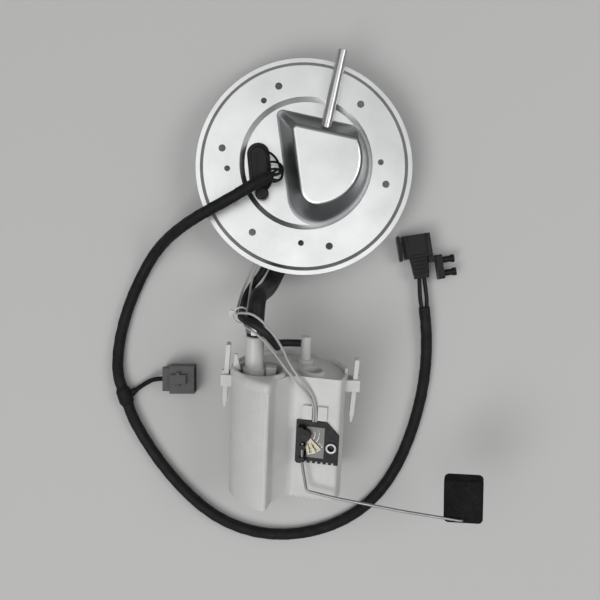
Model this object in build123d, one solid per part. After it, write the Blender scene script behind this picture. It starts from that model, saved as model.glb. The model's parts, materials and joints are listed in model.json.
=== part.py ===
"""Fuel pump module: a stamped flange, a wiring loom, hoses, and a reservoir with its pump and level sender.

Millimetres. The origin is the centre of the flange's bolt circle on the plate's underside, +Z leaves the dome
side, +X runs through two opposite bolt holes and +Y along the outlet tube. The module lies as it does on a
bench: the flange level, the reservoir on its back below it, the loom laid out round both.
"""
import math
import os

from build123d import *

# Flange plate
PLATE_T = 1.6
FLANGE_R = 86.8
FLAT_R = 80.6
EDGE_BAND_W = 2.8
EDGE_DROP = 2.2
PAN_R = 53.2
PAN_SLOPE_W = 4.0
PAN_DEPTH = 2.5
PAN_X = 1.0
PAN_Y = 2.7
BOLT_CIRCLE_R = 67.0
BOLT_HOLE_R = 2.9
BOLT_ANGLES = [0, 60, 120, 180, 244.5, 300]
RIVET_CIRCLE_R = 61.4
RIVET_HOLE_R = 2.35
RIVET_ANGLES = [15.4, 134.0, 194.1, 280.2]

# Dome on the sunk disc: a D with one straight side across and one slanted side
DOME_T = 1.2
DOME_H = 25.0
DOME_FOOT_IN = 2.0
DOME_TOP_IN = 12.9
DOME_SLOPE_W = 14.7
DOME_TOP_SLOPE_W = 13.5
DOME_LEFT_SLOPE_W = 16.5
DOME_SHIFT_X = 6.5
DOME_SHIFT_Y = 2.8
DOME_LEFT_STAND = 2.0
DOME_LEFT_SLANT = 20.0
DOME_FOOT_CORNER_R = 5.0
DOME_FOOT_TURN_R = 24.0
DOME_HEAD_CORNER_R = 4.0
DOME_HEAD_TURN_R = 14.0
DOME_EDGE_R = 3.6

# Outlet tube
TUBE_R = 4.2
TUBE_BORE_R = 3.1
TUBE_END_R = 4.0
TUBE_END_L = 28.4
TUBE_X = 10.5
TUBE_Z = 12.0
TUBE_END_Y = 94.5
TUBE_BEND_R = 10.0
TUBE_DROP_Y = 20.0
TUBE_LEAD_IN = 0.4
BRAZE_GAP = 0.05

# Regulator under the flange
STRAP_T = 1.5
STRAP_W = 17.0
STRAP_X0 = -41.0
STRAP_X1 = 42.0
STRAP_Y0 = 12.0
BLOCK_L = 46.0
BLOCK_W = 26.0
BLOCK_H = 12.0
BLOCK_X0 = -4.5
BLOCK_EDGE_R = 2.0
CAN_R = 13.0
CAN_X = 28.0
CAN_STEP_R = 10.5
CAN_STEP_H = 5.0
NIPPLE_R = 3.9
NIPPLE_L = 12.0
BACK_NIPPLE_R = 1.9
BACK_NIPPLE_X = -0.5
NIPPLE_DROP = 6.0

# The surface that the module lies on, below the plate's underside
FLOOR_Z = -33.0

# Electrical pass-through beside the dome
PASS_IN = 12.0
PASS_BEARING = 197.5
PASS_TURN = 108.0
PASS_L = 33.0
PASS_W = 13.6
PASS_H = 9.5
PASS_EDGE_R = 2.0
PASS_FOOT_L = 39.0
PASS_FOOT_W = 18.0
PASS_FOOT_H = 2.2
PASS_NECK_L = 30.0
PASS_NECK_W = 10.0
PASS_RIB_L = 21.0
PASS_RIB_W = 1.6
PASS_RIB_H = 0.8
PASS_RIB_SIDE = 2.2
SEAL_T = 1.0
CLIP_R = 5.4
CLIP_H = 12.0
CLIP_AT = 21.5
CLIP_DIMPLE_R = 2.4
CLIP_DIMPLE_H = 1.2
LOWER_L = 27.0
LOWER_W = 12.0
SLIP = 0.05

# Leads from the pass-through to the loom
LEAD_R = 0.95
LEAD_COUNT = 4
LEAD_PITCH = 5.6
LEAD_OUT = 4.5
LEAD_Z = 6.0
LEAD_GATHER = 1.05
LEAD_RUN = 9.0

# Loom
LOOM_R = 4.75
LOOM_FRONT = [
    (-22.4, -14.6, 21.5), (-32.0, -22.5, 22.5), (-42.2, -32.0, 22.0), (-52.3, -41.0, 19.5),
    (-62.6, -49.8, 17.5), (-73.6, -59.2, 15.5), (-84.8, -69.2, 6.0), (-96.1, -80.8, -9.0),
    (-106.0, -96.0, -22.0), (-112.9, -116.4, -28.2), (-117.3, -138.9, -28.2), (-118.8, -163.3, -28.2),
    (-117.4, -183.0, -27.8), (-113.6, -198.4, -26.9), (-108.3, -206.9, -26.8),
]
LOOM_TAIL = [
    (-99.8, -220.5, -26.8), (-93.4, -230.8, -26.9), (-80.5, -245.5, -27.8), (-63.5, -261.5, -28.2),
    (-43.5, -277.0, -28.2), (-20.8, -290.6, -28.2), (4.5, -299.0, -28.2), (31.0, -300.9, -28.2),
    (57.4, -295.6, -28.2), (82.0, -284.6, -28.2), (103.2, -268.0, -28.2), (119.0, -246.2, -28.2),
    (128.6, -220.8, -28.2), (133.6, -193.5, -28.2), (135.4, -165.5, -28.2), (134.0, -139.5, -27.9),
    (129.4, -114.5, -26.6), (124.6, -98.4, -25.2), (121.2, -88.6, -24.5),
]
LOOM_RUN_SHARE = 0.45

# Branch of the loom and its connector
WRAP_R = 6.2
WRAP_EDGE_R = 1.2
BRANCH_LEAD_R = 1.9
BRANCH_STUB_R = 3.4
BRANCH_STUB_L = 11.0
BRANCH_LEAD = [(-95.8, -206.4, -26.8), (-89.6, -199.6, -25.0), (-82.6, -194.1, -22.9), (-75.6, -192.5, -22.6)]
BRANCH_X = -62.9
BRANCH_Y = -189.7
BRANCH_TURN = 12.5
BRANCH_L = 26.0
BRANCH_W = 23.5
BRANCH_H = 19.0
BRANCH_WALL = 1.6
BRANCH_EDGE_R = 1.2
BRANCH_REAR_L = 6.0
BRANCH_REAR_DROP = 2.0
BRANCH_SOCKET_L = 15.0
BLADE_COUNT = 3
BLADE_PITCH = 5.6
BLADE_W = 2.8
BLADE_T = 0.8
BLADE_L = 12.0
BRANCH_LATCH_L = 13.0
BRANCH_LATCH_W = 7.6
BRANCH_LATCH_T = 1.4
BRANCH_PIN_R = 0.5
BRANCH_LUG_TOP = 0.9
LATCH_RISE = 1.3

# End connector
END_X = 104.4
END_Y = -41.2
END_TURN = 111.5
END_L = 19.0
END_W = 22.5
END_H = 18.0
END_WALL = 1.5
END_EDGE_R = 1.5
END_SOCKET_L = 13.0
END_PIN_R = 1.0
END_PIN_L = 7.0
END_PIN_PITCH = 5.2
END_NECK_L = 17.0
END_NECK_W0 = 14.5
END_NECK_W1 = 11.5
END_NECK_H = 11.5
END_NECK_RISE = 3.0
END_LEAD_R = 1.7
END_LEAD_PITCH = 4.4
END_LATCH_L = 21.0
END_LATCH_T = 2.6
END_LATCH_H = 8.0
END_LATCH_GAP = 2.0
LUG_T = 1.6
PIN_R = 1.2
BRACKET_L = 20.0
BRACKET_T = 5.0
BRACKET_H = 15.0
STUD_R = 2.6
STUD_L = 10.5
STUD_PITCH = 11.0
STUD_HEAD_R = 3.3
STUD_HEAD_L = 3.0

# Reservoir, in its own frame: axis up, front at minus Y, floor at zero
RESERVOIR_R = 44.0
RESERVOIR_H = 99.4
RESERVOIR_WALL = 1.5
RESERVOIR_FLOOR = 2.2
RESERVOIR_X = 39.9
RESERVOIR_Y = -252.1
RESERVOIR_TURN = 9.98
RESERVOIR_TILT = 16.4
FLAT_DIST = 13.3
FLAT_TURN = 9.5
NOTCH_TOE_OUT = 8.5
NOTCH_HEEL_OUT = 12.2
NOTCH_HEEL_DOWN = 19.4
NOTCH_ROOT_OUT = 24.7
NOTCH_ROOT_R = 6.0
FLAT_END_R = 2.5
PUMP_BEARING = 197.65
PUMP_BORE_R = 19.4
PUMP_TUBE_WALL = 1.3
EAR_T = 2.1
EAR_W = 6.4
EAR_H = 14.6
EAR_RISE = 3.6
FOOT_NOTCH_COUNT = 9
FOOT_NOTCH_W = 2.2
FOOT_NOTCH_H = 1.6
FOOT_NOTCH_DEPTH = 1.0
FOOT_NOTCH_START_SHARE = 0.14
FOOT_NOTCH_END_SHARE = 0.94
FOOT_HOLE_R = 2.0
FOOT_HOLE_CIRCLE_R = 4.6
FOOT_HOLE_COUNT = 4
FOOT_VALVE_X = 14.0
FOOT_VALVE_Y = 14.0
RIB_L = 14.0
RIB_W = 1.4
RIB_T = 0.6
RIB_COUNT = 4
RIB_DROP = 7.4
RIB_FIRST_ANGLE = -129.0
RIB_STEP_ANGLE = 5.7

# Lid
LID_T = 2.4
LID_DROP = 3.0
LID_GAP = 0.3
FILL_X = 18.5
FILL_Y = 0.5
FILL_R = 7.0
COLLAR_R = 9.6
COLLAR_H = 3.2
LEDGE_W = 1.6
LEDGE_H = 3.0

# Elbow on the lid and the jet tube under it
ELBOW_X = 12.2
ELBOW_Y = 25.0
ELBOW_R = 4.0
ELBOW_FOOT_R = 6.4
ELBOW_FOOT_H = 3.0
ELBOW_H = 21.6
ELBOW_PORT_RISE = 15.6
ELBOW_BORE_R = 2.0
PORT_L = 10.0
PORT_R = 1.9
JET_R = 3.4
JET_BORE_R = 2.2
JET_END_Z = 9.0

# Pump
SHELL_R = 18.2
SHELL_T = 1.1
SHELL_Z0 = 22.0
SHELL_DROP = 11.4
INLET_COVER_H = 8.0
INLET_R = 5.0
INLET_BORE_R = 3.0
INLET_L = 5.0
SHAFT_R = 1.6
SHAFT_END = 2.0
IMPELLER_R = 14.5
IMPELLER_T = 3.6
IMPELLER_RISE = 2.5
VANE_COUNT = 20
VANE_W = 1.6
VANE_D = 2.6
ARMATURE_R = 10.4
ARMATURE_RISE = 14.0
ARMATURE_GAP = 2.0
SLOT_COUNT = 8
SLOT_W = 1.8
SLOT_D = 3.2
COMMUTATOR_R = 7.2
COMMUTATOR_H = 7.0
COMMUTATOR_DROP = 9.0
MAGNET_R0 = 11.6
MAGNET_R1 = 17.0
MAGNET_OVER = 1.5
MAGNET_GAP_W = 9.0
BRUSH_W = 4.5
BRUSH_L = 8.0
BRUSH_H = 5.0
RUNNING_GAP = 0.06
CAP_H = 6.0
TOWER_OFF_X = -4.6
TOWER_OFF_Y = 2.0
TOWER_BASE_R = 8.5
TOWER_BASE_H = 7.0
TOWER_R = 7.0
TOWER_H = 33.0
TOWER_EDGE_R = 1.6
TOWER_BORE_R = 4.4
TOWER_SEAT_R = 2.4
TOWER_SEAT_DROP = 21.0
TOWER_NIPPLE_R = 3.9
TOWER_NIPPLE_BORE_R = 2.8
TOWER_NIPPLE_L = 9.0
POPPET_H = 5.0
POPPET_FLUTE_W = 2.6
POPPET_FLUTE_D = 1.2
FLUTE_COUNT = 4
POPPET_STEM_R = 1.3
POPPET_STEM_H = 4.0
POPPET_LIFT = 2.0
VALVE_SPRING_R = 3.3
VALVE_SPRING_WIRE_R = 0.45
VALVE_SPRING_TURNS = 5
PLUG_OFF_X = 8.4
PLUG_OFF_Y = 1.5
PLUG_L = 8.0
PLUG_W = 7.4
PLUG_H = 9.0
PLUG_EDGE_R = 0.8
ISOLATOR_H = 12.0
ISOLATOR_RIB = 0.1
RETAINER_R = 20.4
RETAINER_BORE_R = 17.2
RETAINER_H = 2.0
FIN_OUT = 20.6
FIN_W = 6.0
FIN_T = 3.0
FIN_H = 13.0
STRAINER_R = 15.0
STRAINER_H = 5.5
STRAINER_EDGE_R = 2.0
FLAP_R = 7.4
FLAP_T = 1.0
FLAP_STEM_R = 1.2

# Latch arms on the sides
ARM_DROP = 30.4
ARM_LEN = 50.5
ARM_W = 7.6
ARM_T = 3.4
ARM_POINT_L = 7.0
ARM_TIP_T = 1.0
ARM_PIVOT_DROP = 9.4
LEFT_ARM_STAND = 3.8
RIGHT_ARM_STAND = 6.4
ARM_LEAN = 2.6
ARM_PIN_R = 1.6
ARM_LUG_T = 2.2
ARM_LUG_H = 9.0
ARM_LUG_GAP = 0.35
LEFT_ARM_RISE = 8.0

# Level sender, in the plane of the reservoir's flat: across, up and out
SENDER_X0 = 10.0
SENDER_Z0 = 31.0
SENDER_W = 33.0
SENDER_L = 34.0
SENDER_T = 2.4
SENDER_CHAMFER = 10.0
SENDER_EDGE_NOTCHES = 7
SENDER_NOTCH_W = 1.8
SENDER_NOTCH_D = 1.6
RING_X = 37.4
RING_Z = 45.0
RING_R = 4.4
RING_HOLE_R = 2.3
RING_H = 1.2
TAB_W = 7.0
TAB_H = 11.0
TAB_T = 2.6
TAB_Z = 66.5
TAB_XS = [14.5, 26.0]
CARD_X0 = 18.5
CARD_Z0 = 36.0
CARD_W = 13.5
CARD_L = 25.0
CARD_T = 0.7
PIVOT_X = 17.1
PIVOT_Z = 55.1
PIVOT_R = 2.0
PIVOT_TOP = 8.4
HUB_R = 5.0
HUB_Z = 4.4
HUB_T = 3.5
CARRIER_X0 = 11.6
CARRIER_W = 4.8
CARRIER_Z0 = 32.5
CARRIER_L = 29.0
CARRIER_CLIP_L = 3.4
CARRIER_CLIP_ZS = [35.0, 45.0]
CARRIER_CLIP_T = 1.0
WIPER_T = 0.5
WIPER_R = 17.0
WIPER_W = 2.2
WIPER_FINGERS = 3
WIPER_STEP_ANGLE = 17.0
WIPER_FIRST_ANGLE = -78.0
WIPER_TIP_R = 0.9
WIRE_R = 1.1
WIRE_OUT = 9.0
WIRE_ROUTE = [(16.3, 50.0), (16.6, 34.0), (21.2, 10.6), (46.0, 7.2), (94.0, 3.4), (139.8, 1.4)]
WIRE_BEND_R = 4.0
WIRE_END_BEND_R = 1.4
FLOAT_W = 31.0
FLOAT_L = 38.0
FLOAT_T = 14.0
FLOAT_CORNER_R = 4.0
FLOAT_EDGE_R = 1.5
FLOAT_X0 = 124.0
FLOAT_Z0 = -2.6
FLOAT_SEAT = 0.4
FLOAT_BORE_GAP = 0.08
WIRE_TAIL = 2.2
CLIP_WASHER_R = 3.2
CLIP_WASHER_T = 0.8

# Hoses and leads between the flange and the reservoir
HOSE_R = 6.5
HOSE_BORE_R = 4.0
HOSE_ROUTE = [
    (10.5, -2.0, -10.0), (10.5, -22.0, -10.0), (6.5, -45.0, -10.0), (1.5, -67.0, -10.3),
    (-3.6, -89.0, -11.2), (-6.3, -101.0, 0.0), (-9.6, -106.0, 28.0),
]
HOSE_LAST_RUN = 29.0
CLAMP_T = 0.7
CLAMP_W = 6.0
CLAMP_EAR_W = 4.0
CLAMP_EAR_H = 3.0
BACK_HOSE_R = 2.9
BACK_HOSE_BORE_R = 1.95
BACK_HOSE_ROUTE = [
    (-0.5, -2.0, -10.0), (-0.5, -22.0, -10.0), (-4.5, -45.0, -8.2), (-9.5, -67.0, -7.2),
    (-14.0, -89.5, -6.0), (-19.5, -100.5, -2.5), (-22.6, -110.5, 6.0), (-22.2, -119.5, 20.5),
    (-20.9, -124.9, 38.0), (-20.3, -127.0, 56.5), (-13.5, -128.6, 68.3), (-5.0, -131.0, 70.8),
    (3.0, -135.8, 68.5), (9.6, -141.5, 57.5), (11.7, -144.3, 37.0),
]
BACK_LAST_RUN = 21.6
SENDER_LEAD_R = 0.9
SENDER_LEADS = [
    [
        (-30.0, -27.0, -12.0), (-28.0, -45.0, -9.0), (-25.5, -66.0, -6.0), (-22.6, -84.6, -4.6),
        (-24.6, -97.7, 1.0), (-26.4, -109.6, 8.5), (-26.2, -119.8, 21.0), (-24.9, -125.4, 39.5),
        (-24.2, -125.4, 56.5), (-19.0, -123.2, 69.5), (-11.6, -122.5, 74.2), (-4.4, -125.5, 74.2),
        (2.6, -130.5, 72.0), (9.8, -136.8, 67.5), (16.4, -144.5, 61.0), (21.9, -152.5, 56.2),
        (31.4, -161.6, 56.1), (37.7, -166.4, 53.9), (43.7, -171.6, 52.2), (47.9, -178.1, 50.3),
        (50.5, -185.5, 47.8), (51.7, -192.0, 45.5),
    ],
    [
        (-27.5, -27.0, -12.0), (-25.5, -45.0, -9.0), (-23.0, -66.0, -6.0), (-20.0, -84.2, -5.0),
        (-20.9, -96.3, 2.6), (-19.9, -107.0, 11.5), (-18.2, -117.0, 25.0), (-16.7, -124.6, 37.5),
        (-17.8, -130.0, 49.5), (-15.3, -133.1, 61.8), (-8.0, -135.2, 68.4), (0.0, -139.3, 66.2),
        (6.8, -145.0, 62.2), (13.4, -150.6, 58.2), (19.4, -156.6, 55.2), (30.1, -164.6, 56.3),
        (36.0, -169.0, 53.4), (41.9, -174.1, 51.2), (46.8, -179.5, 50.4), (48.8, -186.7, 47.6),
        (49.7, -192.3, 45.3),
    ],
]
TIE_AT = (-20.8, -126.0, 46.0)
TIE_ALONG = (0.6, -1.9, 18.5)
TIE_R = 5.6
TIE_T = 1.1
TIE_W = 3.2
TIE_HEAD = 5.0

CUT_OVERRUN = 1.0

# Places worked out from the sizes above
PAN_FLOOR_R = PAN_R - PAN_SLOPE_W
PASS_X = PAN_X + (PAN_FLOOR_R - PASS_IN) * math.cos(math.radians(PASS_BEARING))
PASS_Y = PAN_Y + (PAN_FLOOR_R - PASS_IN) * math.sin(math.radians(PASS_BEARING))
DOME_FOOT_R = PAN_R - DOME_FOOT_IN
DOME_FOOT_TOP_Y = PAN_Y + DOME_FOOT_R - DOME_TOP_IN
DOME_FOOT_LEFT_X = PASS_X + DOME_LEFT_STAND
LID_TOP_Z = RESERVOIR_H - LID_DROP
ELBOW_TOP_Z = LID_TOP_Z + ELBOW_H
ELBOW_PORT_Z = LID_TOP_Z + ELBOW_PORT_RISE
PUMP_OFF = RESERVOIR_R - RESERVOIR_WALL - PUMP_BORE_R
PUMP_X = PUMP_OFF * math.cos(math.radians(PUMP_BEARING))
PUMP_Y = PUMP_OFF * math.sin(math.radians(PUMP_BEARING))
NOTCH_TOE_X = PUMP_X + NOTCH_TOE_OUT
NOTCH_HEEL_X = PUMP_X + NOTCH_HEEL_OUT
NOTCH_HEEL_Y = PUMP_Y - NOTCH_HEEL_DOWN
NOTCH_ROOT_X = PUMP_X + NOTCH_ROOT_OUT
SHELL_Z1 = RESERVOIR_H - SHELL_DROP
SHAFT_Z0 = SHELL_Z0 - SHAFT_END
SHAFT_Z1 = SHELL_Z1 - SHAFT_END
IMPELLER_Z = SHELL_Z0 + IMPELLER_RISE
COMMUTATOR_Z1 = SHELL_Z1 - COMMUTATOR_DROP
COMMUTATOR_Z0 = COMMUTATOR_Z1 - COMMUTATOR_H
ARMATURE_Z0 = SHELL_Z0 + ARMATURE_RISE
ARMATURE_Z1 = COMMUTATOR_Z0 - ARMATURE_GAP
MAGNET_Z0 = ARMATURE_Z0 - MAGNET_OVER
MAGNET_Z1 = ARMATURE_Z1 + MAGNET_OVER
CAP_TOP_Z = SHELL_Z1 + CAP_H
TOWER_X = PUMP_X + TOWER_OFF_X
TOWER_Y = PUMP_Y + TOWER_OFF_Y
TOWER_TOP_Z = CAP_TOP_Z + TOWER_H
TOWER_SEAT_Z = TOWER_TOP_Z - TOWER_SEAT_DROP
TOWER_BORE_TOP_Z = TOWER_TOP_Z - TOWER_NIPPLE_R
PLUG_X = PUMP_X + PLUG_OFF_X
PLUG_Y = PUMP_Y + PLUG_OFF_Y
FIN_X0 = PUMP_X - FIN_OUT
ARM_PIVOT_Z = RESERVOIR_H - ARM_PIVOT_DROP


def save(node, shape):
    """Write one node, whose solids stay separate."""
    export_step(shape, f"parts/{node}.step")


def rod(radius, low, high, x=0, y=0):
    """A cylinder along Z from one height to another."""
    return Pos(x, y, (low + high) / 2) * Cylinder(radius, high - low)


def block(x0, x1, y0, y1, z0, z1):
    """A box between two corners."""
    return Pos((x0 + x1) / 2, (y0 + y1) / 2, (z0 + z1) / 2) * Box(x1 - x0, y1 - y0, z1 - z0)


def stadium(length, width, low, high):
    """A block with round ends, its long side along X."""
    return Pos(0, 0, low) * extrude(SlotOverall(length, width), high - low)


def turned(points):
    """A solid of revolution about Z from points given as radius and height."""
    corners = [(radius, 0, height) for radius, height in points]
    return revolve(make_face(Polyline(*corners, close=True)), Axis.Z)


def bend_radii(points, share, limit=None):
    """The radius of each corner, as large as its two runs allow."""
    spots = [Vector(*point) for point in points]
    radii = []
    for before, corner, after in zip(spots, spots[1:], spots[2:]):
        turn = (corner - before).get_angle(after - corner)
        room = share * min((corner - before).length, (after - corner).length)
        radius = room / math.tan(math.radians(turn) / 2)
        radii.append(radius if limit is None else min(radius, limit))
    return radii


def path_along(points, radii):
    """Straight runs joined by tangent arcs."""
    return FilletPolyline(*points, radius=radii)


def ring_section(path, outer, inner=0):
    """The round section at the start of a path, with a bore if it has one."""
    start = Plane(origin=path @ 0, z_dir=path % 0)
    section = Circle(outer)
    if inner:
        section -= Circle(inner)
    return start * section


def tube(points, outer, inner=0, limit=None):
    """A tube or cord along a route."""
    path = path_along(points, bend_radii(points, LOOM_RUN_SHARE, limit))
    return sweep(ring_section(path, outer, inner), path)


def cord(name, points, radius):
    """A cord's tube, with its bends and its volume printed for checking."""
    radii = bend_radii(points, LOOM_RUN_SHARE)
    path = path_along(points, radii)
    solid = sweep(ring_section(path, radius), path)
    expected = math.pi * radius**2 * path.length
    print(name, "length", round(path.length, 1), "smallest bend", round(min(radii), 1))
    print(name, "volume ratio", round(solid.volume / expected, 5))
    print(name, "radii", [round(value) for value in radii])
    return solid


def reservoir_frame():
    """The reservoir lies on its back on the surface, turned a little and with its rim raised."""
    turn = math.radians(RESERVOIR_TURN)
    tilt = math.radians(RESERVOIR_TILT)
    axis = Vector(-math.sin(turn) * math.cos(tilt), math.cos(turn) * math.cos(tilt), math.sin(tilt))
    side = Vector(math.cos(turn), math.sin(turn), 0)
    foot_z = FLOOR_Z + RESERVOIR_R * math.cos(tilt)
    return Plane(origin=(RESERVOIR_X, RESERVOIR_Y, foot_z), x_dir=side, z_dir=axis)


def flat_frame():
    """The reservoir's flat, in the reservoir's frame: X across, Y up, Z out of the flat."""
    turn = math.radians(FLAT_TURN)
    out = Vector(-math.sin(turn), -math.cos(turn), 0)
    across = Vector(math.cos(turn), -math.sin(turn), 0)
    return Plane(origin=out * FLAT_DIST, x_dir=across, z_dir=out)


RESERVOIR = reservoir_frame().location
FLAT = RESERVOIR * flat_frame().location


def placed(where, *shapes):
    """Separate solids moved to their place, as one node."""
    solids = []
    for shape in shapes:
        solids.extend(shape.moved(where).solids())
    return solids[0] if len(solids) == 1 else Compound(children=solids)


def d_face(height, radius, x, y, top_y, left_x, corner_r, turn_r):
    """The D outline of the dome at one height."""
    reach = radius + radius
    face = Pos(x, y) * Circle(radius)
    face &= Pos(x, top_y - reach) * Rectangle(reach + reach, reach + reach)
    left = Pos(left_x, top_y) * Rot(0, 0, DOME_LEFT_SLANT) * Pos(reach, 0)
    face &= left * Rectangle(reach + reach, reach * 4)
    corners = face.vertices().sort_by(Axis.Y)
    face = fillet(corners[-2:], corner_r)
    low = face.vertices().sort_by(Axis.Y)[0]
    return Pos(0, 0, height) * fillet(low, turn_r)


def dome(inset, foot_z, head_z):
    """The dome's solid form, drawn in by a thickness for its hollow."""
    foot = d_face(
        foot_z,
        DOME_FOOT_R - inset,
        PAN_X,
        PAN_Y,
        DOME_FOOT_TOP_Y - inset,
        DOME_FOOT_LEFT_X + inset,
        DOME_FOOT_CORNER_R,
        DOME_FOOT_TURN_R,
    )
    head = d_face(
        head_z,
        DOME_FOOT_R - DOME_SLOPE_W - inset,
        PAN_X + DOME_SHIFT_X,
        PAN_Y + DOME_SHIFT_Y,
        DOME_FOOT_TOP_Y - DOME_TOP_SLOPE_W - inset,
        DOME_FOOT_LEFT_X + DOME_LEFT_SLOPE_W + inset,
        DOME_HEAD_CORNER_R,
        DOME_HEAD_TURN_R,
    )
    solid = loft([foot, head])
    top = solid.faces().sort_by(Axis.Z)[-1]
    return fillet(top.edges(), DOME_EDGE_R - inset)


def flange_plate():
    """The stamped plate: flat ring, stepped edge, sunk disc, hollow dome and all its holes."""
    low = -EDGE_DROP
    lip_r = FLAT_R + EDGE_BAND_W
    plate = turned([
        (0, 0),
        (FLAT_R - PLATE_T / 2, 0),
        (lip_r - PLATE_T / 2, low),
        (FLANGE_R, low),
        (FLANGE_R, low + PLATE_T),
        (lip_r, low + PLATE_T),
        (FLAT_R, PLATE_T),
        (0, PLATE_T),
    ])
    pan = turned([
        (0, -PAN_DEPTH),
        (PAN_FLOOR_R, -PAN_DEPTH),
        (PAN_R, 0),
        (PAN_R, PLATE_T),
        (PAN_FLOOR_R, PLATE_T - PAN_DEPTH),
        (0, PLATE_T - PAN_DEPTH),
    ])
    sunk = rod(PAN_R, -PAN_DEPTH - CUT_OVERRUN, PLATE_T + CUT_OVERRUN, PAN_X, PAN_Y)
    body = plate - sunk + Pos(PAN_X, PAN_Y) * pan
    pan_top = PLATE_T - PAN_DEPTH
    body += dome(0, pan_top, pan_top + DOME_H)
    body -= dome(DOME_T, -PAN_DEPTH, pan_top + DOME_H - DOME_T)
    for angle in BOLT_ANGLES:
        body -= Rot(0, 0, angle) * rod(BOLT_HOLE_R, -CUT_OVERRUN, PLATE_T + CUT_OVERRUN, BOLT_CIRCLE_R)
    for angle in RIVET_ANGLES:
        body -= Rot(0, 0, angle) * rod(RIVET_HOLE_R, -CUT_OVERRUN, PLATE_T + CUT_OVERRUN, RIVET_CIRCLE_R)
    body -= pass_place() * stadium(
        PASS_NECK_L + SLIP + SLIP, PASS_NECK_W + SLIP + SLIP, -PAN_DEPTH - CUT_OVERRUN, PLATE_T
    )
    wall_hole = Pos(TUBE_X, TUBE_END_Y / 2, TUBE_Z) * Rot(90, 0, 0)
    reach = TUBE_END_Y - PAN_Y
    body -= wall_hole * Cylinder(TUBE_R + BRAZE_GAP, reach)
    return body


def pass_place():
    """Where the pass-through stands on the sunk disc."""
    return Pos(PASS_X, PASS_Y, 0) * Rot(0, 0, PASS_TURN)


def outlet_tube():
    """The brazed tube: level outside with a sized end, bent down inside the dome to the regulator block."""
    foot = -PAN_DEPTH - STRAP_T - NIPPLE_DROP / 2
    route = [(TUBE_X, TUBE_END_Y, TUBE_Z), (TUBE_X, TUBE_DROP_Y, TUBE_Z), (TUBE_X, TUBE_DROP_Y, foot)]
    path = FilletPolyline(*route, radius=TUBE_BEND_R)
    body = sweep(ring_section(path, TUBE_R, TUBE_BORE_R), path)
    sleeve = Cylinder(TUBE_R + CUT_OVERRUN, TUBE_END_L) - Cylinder(TUBE_END_R, TUBE_END_L)
    body -= Pos(TUBE_X, TUBE_END_Y - TUBE_END_L / 2, TUBE_Z) * Rot(90, 0, 0) * sleeve
    end = body.edges().filter_by(GeomType.CIRCLE).sort_by(Axis.Y)[-2:]
    return chamfer(end, TUBE_LEAD_IN)


def regulator():
    """The strap, block and can that hang under the dome."""
    strap_top = -PAN_DEPTH
    strap_low = strap_top - STRAP_T
    block_low = strap_low - BLOCK_H
    y1 = STRAP_Y0 + STRAP_W
    strap = block(STRAP_X0, STRAP_X1, STRAP_Y0, y1, strap_low, strap_top)
    strap -= rod(TUBE_R + SLIP, strap_low - CUT_OVERRUN, strap_top + CUT_OVERRUN, TUBE_X, TUBE_DROP_Y)
    body = block(BLOCK_X0, BLOCK_X0 + BLOCK_L, y1 - BLOCK_W, y1, block_low, strap_low)
    body = fillet(body.edges().filter_by(Axis.Z), BLOCK_EDGE_R)
    socket_low = strap_low - NIPPLE_DROP / 2 - SLIP
    body -= rod(TUBE_R + SLIP, socket_low, strap_low + CUT_OVERRUN, TUBE_X, TUBE_DROP_Y)
    nipple_z = strap_low - NIPPLE_DROP
    face_y = y1 - BLOCK_W
    for x, radius in ((TUBE_X, NIPPLE_R), (BACK_NIPPLE_X, BACK_NIPPLE_R)):
        nipple = Pos(x, face_y - NIPPLE_L / 2, nipple_z) * Rot(90, 0, 0) * Cylinder(radius, NIPPLE_L)
        body += nipple
    can = rod(CAN_R, FLOOR_Z + CAN_STEP_H, block_low, CAN_X, STRAP_Y0)
    can += rod(CAN_STEP_R, FLOOR_Z, FLOOR_Z + CAN_STEP_H, CAN_X, STRAP_Y0)
    return strap, body, can


def pass_through():
    """The moulded shell above, its gasket, and the half below the plate."""
    floor = PLATE_T - PAN_DEPTH
    foot = floor + SEAL_T
    shell = stadium(PASS_FOOT_L, PASS_FOOT_W, foot, foot + PASS_FOOT_H)
    top = foot + PASS_H
    shell += fillet(
        stadium(PASS_L, PASS_W, foot, top).faces().sort_by(Axis.Z)[-1].edges(), PASS_EDGE_R
    )
    rib = stadium(PASS_RIB_L, PASS_RIB_W, top, top + PASS_RIB_H)
    shell += Pos(0, PASS_RIB_SIDE, 0) * rib
    shell += stadium(PASS_NECK_L, PASS_NECK_W, -PAN_DEPTH, foot)
    seal = stadium(PASS_FOOT_L, PASS_FOOT_W, floor, foot)
    seal -= stadium(PASS_NECK_L + SLIP + SLIP, PASS_NECK_W + SLIP + SLIP, floor, foot)
    room = rod(CLIP_R + SLIP, floor, top, -CLIP_AT)
    shell -= room
    seal -= room
    lower = stadium(LOWER_L, LOWER_W, FLOOR_Z, -PAN_DEPTH)
    lower += stadium(PASS_L, PASS_W, -PAN_DEPTH - PASS_FOOT_H, -PAN_DEPTH)
    return shell, seal, lower


def clip_stud():
    """The round clip at the shell's lower end, with a dimple in its head."""
    floor = PLATE_T - PAN_DEPTH
    top = floor + CLIP_H
    stud = rod(CLIP_R, floor, top)
    stud = fillet(stud.faces().sort_by(Axis.Z)[-1].edges(), PASS_EDGE_R)
    return stud - rod(CLIP_DIMPLE_R, top - CLIP_DIMPLE_H, top + CUT_OVERRUN)


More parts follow.
